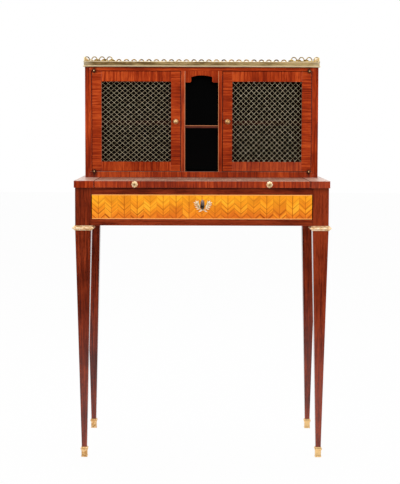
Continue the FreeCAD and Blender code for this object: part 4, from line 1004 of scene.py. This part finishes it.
def gallery_length(mesh, start, run, pitch, lead, half_width=LOOP_HALF_WIDTH, ramped=False):
    """Rings, links and the foot strip along a straight run of the gallery."""
    floor_corner, top_corner = box_mm("gallery_back")
    forward = run.normalized()
    count = round((run.length - 2 * lead) / pitch) + 1
    level = top_corner.z - floor_corner.z - LOOP_RADIUS - half_width
    foot_turn = math.asin((GALLERY_FOOT - half_width - level) / LOOP_RADIUS)
    for index in range(count):
        middle = start + forward * (lead + pitch * index) + UP * level
        gallery_loop(mesh, middle, forward, foot_turn, half_width)
        if index < count - 1:
            gallery_link(mesh, middle + forward * (pitch / 2), forward, pitch)
    foot = start + UP * (GALLERY_FOOT / 2)
    rod(mesh, [foot, foot + run / 2, foot + run], forward.cross(UP),
        GALLERY_FOOT / 2 * math.sqrt(2), GALLERY_HALF_DEPTH * math.sqrt(2), FOOT_SIDES)
    if ramped:
        edge = start + forward * (lead + pitch * (count - 1) + LOOP_RADIUS)
        gallery_ramp(mesh, edge, forward, level)


def gallery_back():
    """The gallery along the back."""
    low, high = box_mm("gallery_back")
    width = high.x - low.x
    pitch = width / round(width / GALLERY_PITCH)
    start = Vector((low.x - GALLERY_OUT, (low.y + high.y) / 2, low.z))
    run = Vector((width + 2 * GALLERY_OUT, 0, 0))
    mesh = bmesh.new()
    gallery_length(mesh, start, run, pitch, pitch + GALLERY_OUT, BACK_HALF_WIDTH)
    piece("gallery_back_casting", mesh, metal("gallery_brass"), "desk", "brass", "gallery_back")


def gallery_side(side):
    """The gallery along one side, with a short return at the front."""
    node = "gallery_" + SIDE_NAMES[side]
    low, high = box_mm(node)
    outer = side * (max(abs(low.x), abs(high.x)) + GALLERY_OUT - GALLERY_HALF_DEPTH)
    # Paler brass along the outer side
    brass = metal("gallery_brass", (X, outer * MM, GALLERY_PALE_REACH, PALE_BRASS))
    front = low.y + GALLERY_HALF_DEPTH
    depth = high.y - front
    pitch = depth / round(depth / GALLERY_PITCH)
    mesh = bmesh.new()
    gallery_length(mesh, Vector((outer, front, low.z)), Vector((0, depth, 0)), pitch, pitch / 2)
    corner = Vector((outer + side * GALLERY_HALF_DEPTH, front, low.z))
    run = Vector((-side * RETURN_LOOPS * RETURN_PITCH, 0, 0))
    gallery_length(mesh, corner, run, RETURN_PITCH, LOOP_RADIUS + LOOP_HALF_WIDTH, ramped=True)
    piece(node + "_casting", mesh, brass, "desk", "brass", node)


# Band under the gallery: reach from the cabinet and level of each point of its section
BAND_SECTION = (
    (0.0, 0.0), (2.6, 0.0), (3.9, 0.35), (4.75, 1.2), (5.0, 2.25), (4.75, 3.3), (3.9, 4.15), (2.9, 4.5),
    (2.4, 4.9), (2.6, 5.5), (2.9, 6.5), (3.0, 9.5), (3.0, 12.6), (3.2, 13.4), (3.6, 13.9), (4.0, 14.4),
    (4.3, 15.2), (4.2, 15.9), (3.8, 16.3), (3.0, 16.5), (0.0, 16.5),
)
BAND_REACH = max(reach for reach, level in BAND_SECTION)


def top_band():
    """A moulded strip round the front and the sides of the top."""
    low, high = box_mm("top_band")
    half, front = high.x - BAND_REACH, low.y + BAND_REACH
    mesh = bmesh.new()
    rings = []
    for side, mitred in ((LEFT, False), (LEFT, True), (RIGHT, True), (RIGHT, False)):
        points = [Vector((side * (half + reach), front - reach if mitred else high.y, low.z + level))
                  for reach, level in BAND_SECTION]
        rings.append(ring_of(mesh, points))
    loft(mesh, rings)
    piece("top_band_moulding", mesh, band_brass(), "desk", "brass", "top_band")


# Escutcheon
KEYHOLE_RISE = 35.0
KEYHOLE_RADIUS = 2.2
KEYHOLE_SLOT = 1.1
KEYHOLE_DROP = 6.5
PLATE_HALF_WIDTH, PLATE_HALF_HEIGHT = 5.4, 14.0
PLATE_STEPS = 48
# Reach of the painted highlight down from the top of the plate
PLATE_HIGHLIGHT_REACH = 19.0 * MM
# How far the middle of the plate and of the branches lies beside and above the keyhole
PLATE_ASIDE, PLATE_RISE = 1.2, 4.0
LAUREL_ASIDE, LAUREL_RISE = 2.4, 4.8
# Rim of the plate: share of its size, and height over the drawer
PLATE_FACE = 1.2
PLATE_RIM = ((1.0, 0.0), (1.0, 1.0), (0.95, 1.7), (0.86, 1.7), (0.8, PLATE_FACE))
# Stem beside the keyhole: where it starts, bends and ends
SPRAY_POINTS = ((-1.5, -15.5), (12.0, -13.0), (16.5, 2.0))
STEM_POINTS, STEM_SIDES = 14, 8
STEM_RADIUS = 0.9
# Height of the stems over the drawer, and how much one lies above the other
STEM_HEIGHT, STEM_CROSSING = 1.1, 0.4
LEAF_PLACES = (0.42, 0.62, 0.82, 1.0)
LEAF_WIDTH, LEAF_HEIGHT, LEAF_THICKNESS = 3.1, 1.1, 0.4
LEAF_FOOT = 0.4
OUTER_LEAF, INNER_LEAF, TAIL_LEAF = 10.5, 11.0, 13.0
OUTER_LIFT, INNER_LIFT, END_LIFT = 1.2, 0.6, 0.8
OUTER_SPREAD, INNER_SPREAD = math.radians(-50), math.radians(44)
TAIL_FALL = math.radians(12)
# Leaf: what its tips leave off, how far its width lies towards the stalk, its fullness and its groove
TIP_SHARE = 0.02
LEAF_SKEW, LEAF_FULLNESS = 0.85, 0.5
GROOVE_SHARE = 0.35
LEAF_STEPS, LEAF_WIDTH_STEPS = 9, 6
BERRY_RADIUS, BERRY_RISE = 1.0, 1.6
BERRY_BANDS, BERRY_STEPS = 6, 10
# Reach of the darker gilt up from the drawer: patina and painted shade
LAUREL_HOLLOW_REACH = 1.85 * MM


def keyhole_outline(count):
    """Places round a keyhole, starting at the right end of its slot."""
    start = -math.acos(KEYHOLE_SLOT / KEYHOLE_RADIUS)
    round_part = [(KEYHOLE_RADIUS * math.cos(turn), KEYHOLE_RADIUS * math.sin(turn))
                  for turn in evenly(start, math.pi - start, count - 3)]
    return [(KEYHOLE_SLOT, -KEYHOLE_DROP)] + round_part + [(-KEYHOLE_SLOT, -KEYHOLE_DROP)]


def keyhole_plate():
    """An oval dark plate with a raised rim and a painted highlight at its top, pierced by the keyhole."""
    corner = box_mm("drawer_front")[0]
    level = corner.z + KEYHOLE_RISE
    middle = level + PLATE_RISE
    plate_metal = metal("plate_metal", (Z, (middle + PLATE_HALF_HEIGHT) * MM, PLATE_HIGHLIGHT_REACH, PLATE_HIGHLIGHT))
    hole = keyhole_outline(PLATE_STEPS)
    turns = [math.atan2(z / PLATE_HALF_HEIGHT, x / PLATE_HALF_WIDTH) for x, z in hole]
    mesh = bmesh.new()
    rings = []
    for share, height in PLATE_RIM:
        wide, tall = share * PLATE_HALF_WIDTH, share * PLATE_HALF_HEIGHT
        oval = [(PLATE_ASIDE + wide * math.cos(turn), middle + tall * math.sin(turn)) for turn in turns]
        rings.append(ring_of(mesh, [Vector((x, corner.y - height, z)) for x, z in oval]))
    for height in (PLATE_FACE, 0.0):
        rings.append(ring_of(mesh, [Vector((x, corner.y - height, level + z)) for x, z in hole]))
    bridge(mesh, rings + rings[:1])
    piece("keyhole_plate", mesh, plate_metal, "drawer", "gilt", "escutcheon")


def spray_place(side, share, height):
    """A place at a height over a laurel stem, and the stem's heading there."""
    start, bend, end = (Vector((side * x, -height, z)) for x, z in SPRAY_POINTS)
    low, high = start.lerp(bend, share), bend.lerp(end, share)
    corner = box_mm("drawer_front")[0]
    middle = Vector((LAUREL_ASIDE, corner.y, corner.z + KEYHOLE_RISE + LAUREL_RISE))
    return middle + low.lerp(high, share), math.atan2(high.z - low.z, high.x - low.x)


def leaf(mesh, base, heading, length, lift):
    """A domed leaf with a sunk midrib, from its stalk towards a heading."""
    along = Vector((math.cos(heading), 0, math.sin(heading)))
    across = Vector((-math.sin(heading), 0, math.cos(heading)))
    rings = []
    for share in evenly(TIP_SHARE, 1 - TIP_SHARE, LEAF_STEPS):
        swell = math.sin(math.pi * share)
        half = LEAF_WIDTH / 2 * math.sin(math.pi * share ** LEAF_SKEW)
        middle = base + along * (length * share) + OUTWARD * (lift * swell)
        top, under = [], []
        for side in evenly(-1, 1, LEAF_WIDTH_STEPS):
            dome = LEAF_HEIGHT * (1 - side * side) * swell ** LEAF_FULLNESS
            groove = GROOVE_SHARE * LEAF_HEIGHT if side == 0 else 0.0
            under.append(middle + across * (half * side))
            top.append(under[-1] + OUTWARD * (LEAF_THICKNESS + dome - groove))
        rings.append(ring_of(mesh, top + under[::-1]))
    loft(mesh, rings)


def laurel_branch(mesh, side):
    """One branch: its stem, leaves and berries in pairs, and a leaf at each end."""
    height = STEM_HEIGHT + STEM_CROSSING * side
    path = [spray_place(side, share, height)[0] for share in evenly(0, 1, STEM_POINTS)]
    rod(mesh, path, DEEP, STEM_RADIUS, STEM_RADIUS, STEM_SIDES)
    berry = ball(BERRY_RADIUS, evenly(0, math.pi, BERRY_BANDS)[1:-1])
    for share in LEAF_PLACES:
        base, heading = spray_place(side, share, LEAF_FOOT)
        leaf(mesh, base, heading + side * OUTER_SPREAD, OUTER_LEAF, OUTER_LIFT)
        leaf(mesh, base, heading + side * INNER_SPREAD, INNER_LEAF, INNER_LIFT)
        turned(mesh, berry, base + OUTWARD * BERRY_RISE, OUTWARD, BERRY_STEPS)
    base, heading = spray_place(side, 1, LEAF_FOOT)
    leaf(mesh, base, heading, OUTER_LEAF, END_LIFT)
    base, heading = spray_place(side, 0, LEAF_FOOT)
    leaf(mesh, base, heading + math.pi + side * TAIL_FALL, TAIL_LEAF, END_LIFT)


def laurel():
    """Two laurel branches that cross below the keyhole."""
    # Darker near the drawer between the leaves: patina and painted shade
    laurel_gilt = metal("laurel_gilt", (Y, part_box("drawer_front")[0].y, LAUREL_HOLLOW_REACH, HOLLOW_DARK_GILT))
    mesh = bmesh.new()
    for side in (LEFT, RIGHT):
        laurel_branch(mesh, side)
    piece("laurel_spray", mesh, laurel_gilt, "drawer", "gilt", "escutcheon")


def build_pieces():
    """Every piece that stands for a plainer solid."""
    leg_collars()
    leg_sabots()
    slide_knobs()
    pivots()
    gallery_back()
    for side in (LEFT, RIGHT):
        gallery_side(side)
    top_band()
    keyhole_plate()
    laurel()
    for side in (LEFT, RIGHT):
        door_knob(side)
        grille(side)


# Stage, light and camera, in metres
FLOOR_SIZE = 30.0
FLOOR_TONE, FLOOR_ROUGHNESS = 0.9, 0.9
FLOOR_WHITE_SHARE = 0.97
AMBIENT = 0.42
# Strength of the mirrored floor and room at two depths: far in front, and near or behind the object
FLOOR_DIM, FLOOR_WHITE = (-2.3, 0.03), (-0.9, 1.0)
ROOM_DIM, ROOM_WHITE = (-0.92, 0.04), (-0.3, 1.0)
# Lamps: place, the point they look at, size and power
LAMPS = {
    "key": ((-2.4, -3.4, 2.8), (0, 0, 0.7), 2.6, 90),
    "fill": ((2.8, -3.0, 1.8), (0, 0, 0.6), 2.6, 68),
    "top": ((0, 1.2, 3.2), (0, 0, 0.8), 2.4, 45),
}
CAMERA_PLACE = (-0.0255, -4.039, 0.913)
CAMERA_YAW, CAMERA_PITCH, CAMERA_ROLL = -0.0053, 0.0828, 0.0027
# Focal length and height of the picture, in pixels, and the sensor in millimetres
CAMERA_FOCUS, PICTURE_HEIGHT = 1421, 484
SENSOR = 36.0


def step_between(tree, value, lows, highs):
    """A number that runs from one value to another while its source does."""
    (low, first), (high, last) = lows, highs
    return tree.step("ShaderNodeMapRange", (value, low, high, first, last))[0]


def seen_strength(tree, direct, mirrored, other):
    """A number for camera rays, one for mirrored rays and rays through glass, and one for the others."""
    path = tree.node("ShaderNodeLightPath").outputs
    strength = other
    for ray, seen in (("Transmission", mirrored), ("Glossy", mirrored), ("Camera", direct)):
        strength = tree.blend(path["Is " + ray + " Ray"], strength, seen, "FLOAT")
    return strength


def floor():
    """A plain pale floor that keeps a little of the object's shadow."""
    shader = Shader("floor", FLOOR_ROUGHNESS)
    shader.feed(shader.surface["Base Color"], (FLOOR_TONE, FLOOR_TONE, FLOOR_TONE, 1))
    mirrored = step_between(shader, shader.y, FLOOR_DIM, FLOOR_WHITE)
    glow = shader.step("ShaderNodeEmission", (WHITE, seen_strength(shader, 1.0, mirrored, 0.0)))[0]
    lit = shader.nodes["Principled BSDF"].outputs[0]
    white_share = seen_strength(shader, FLOOR_WHITE_SHARE, 1.0, 0.0)
    mixed = shader.step("ShaderNodeMixShader", (white_share, lit, glow))[0]
    shader.feed(shader.nodes["Material Output"].inputs[0], mixed)
    mesh = bmesh.new()
    bmesh.ops.create_grid(mesh, x_segments=1, y_segments=1, size=FLOOR_SIZE / 2)
    stand("floor", mesh_data("floor", mesh, shader.material))


def room():
    """White behind the object, and a dimmer room in front of it for the reflections."""
    world = bpy.data.worlds.new("room")
    bpy.context.scene.world = world
    tree = Tree(world)
    heading = tree.step("ShaderNodeSeparateXYZ", (tree.node("ShaderNodeTexCoord").outputs["Generated"],))
    mirrored = step_between(tree, heading[Y], ROOM_DIM, ROOM_WHITE)
    background = tree.nodes["Background"].inputs
    tree.feed(background["Color"], WHITE)
    tree.feed(background["Strength"], seen_strength(tree, 1.0, mirrored, AMBIENT))


def lamp(name, place, target, size, power):
    """A soft square lamp that looks at a point."""
    data = bpy.data.lights.new(name, "AREA")
    data.size = size
    data.energy = power
    made = stand(name, data)
    made.location = place
    made.rotation_euler = (Vector(target) - Vector(place)).to_track_quat("-Z", "Y").to_euler()


def camera():
    """The photograph's viewpoint."""
    data = bpy.data.cameras.new("camera")
    data.sensor_width = SENSOR
    data.lens = CAMERA_FOCUS / PICTURE_HEIGHT * SENSOR
    made = stand("camera", data)
    turn = (Matrix.Rotation(CAMERA_YAW, 4, "Z") @ Matrix.Rotation(math.pi / 2 - CAMERA_PITCH, 4, "X")
            @ Matrix.Rotation(CAMERA_ROLL, 4, "Z"))
    made.matrix_world = Matrix.Translation(CAMERA_PLACE) @ turn
    bpy.context.scene.camera = made


dress_solids()
build_pieces()
floor()
room()
for name, (place, target, size, power) in LAMPS.items():
    lamp(name, place, target, size, power)
camera()
bpy.context.scene.view_settings.view_transform = "Standard"
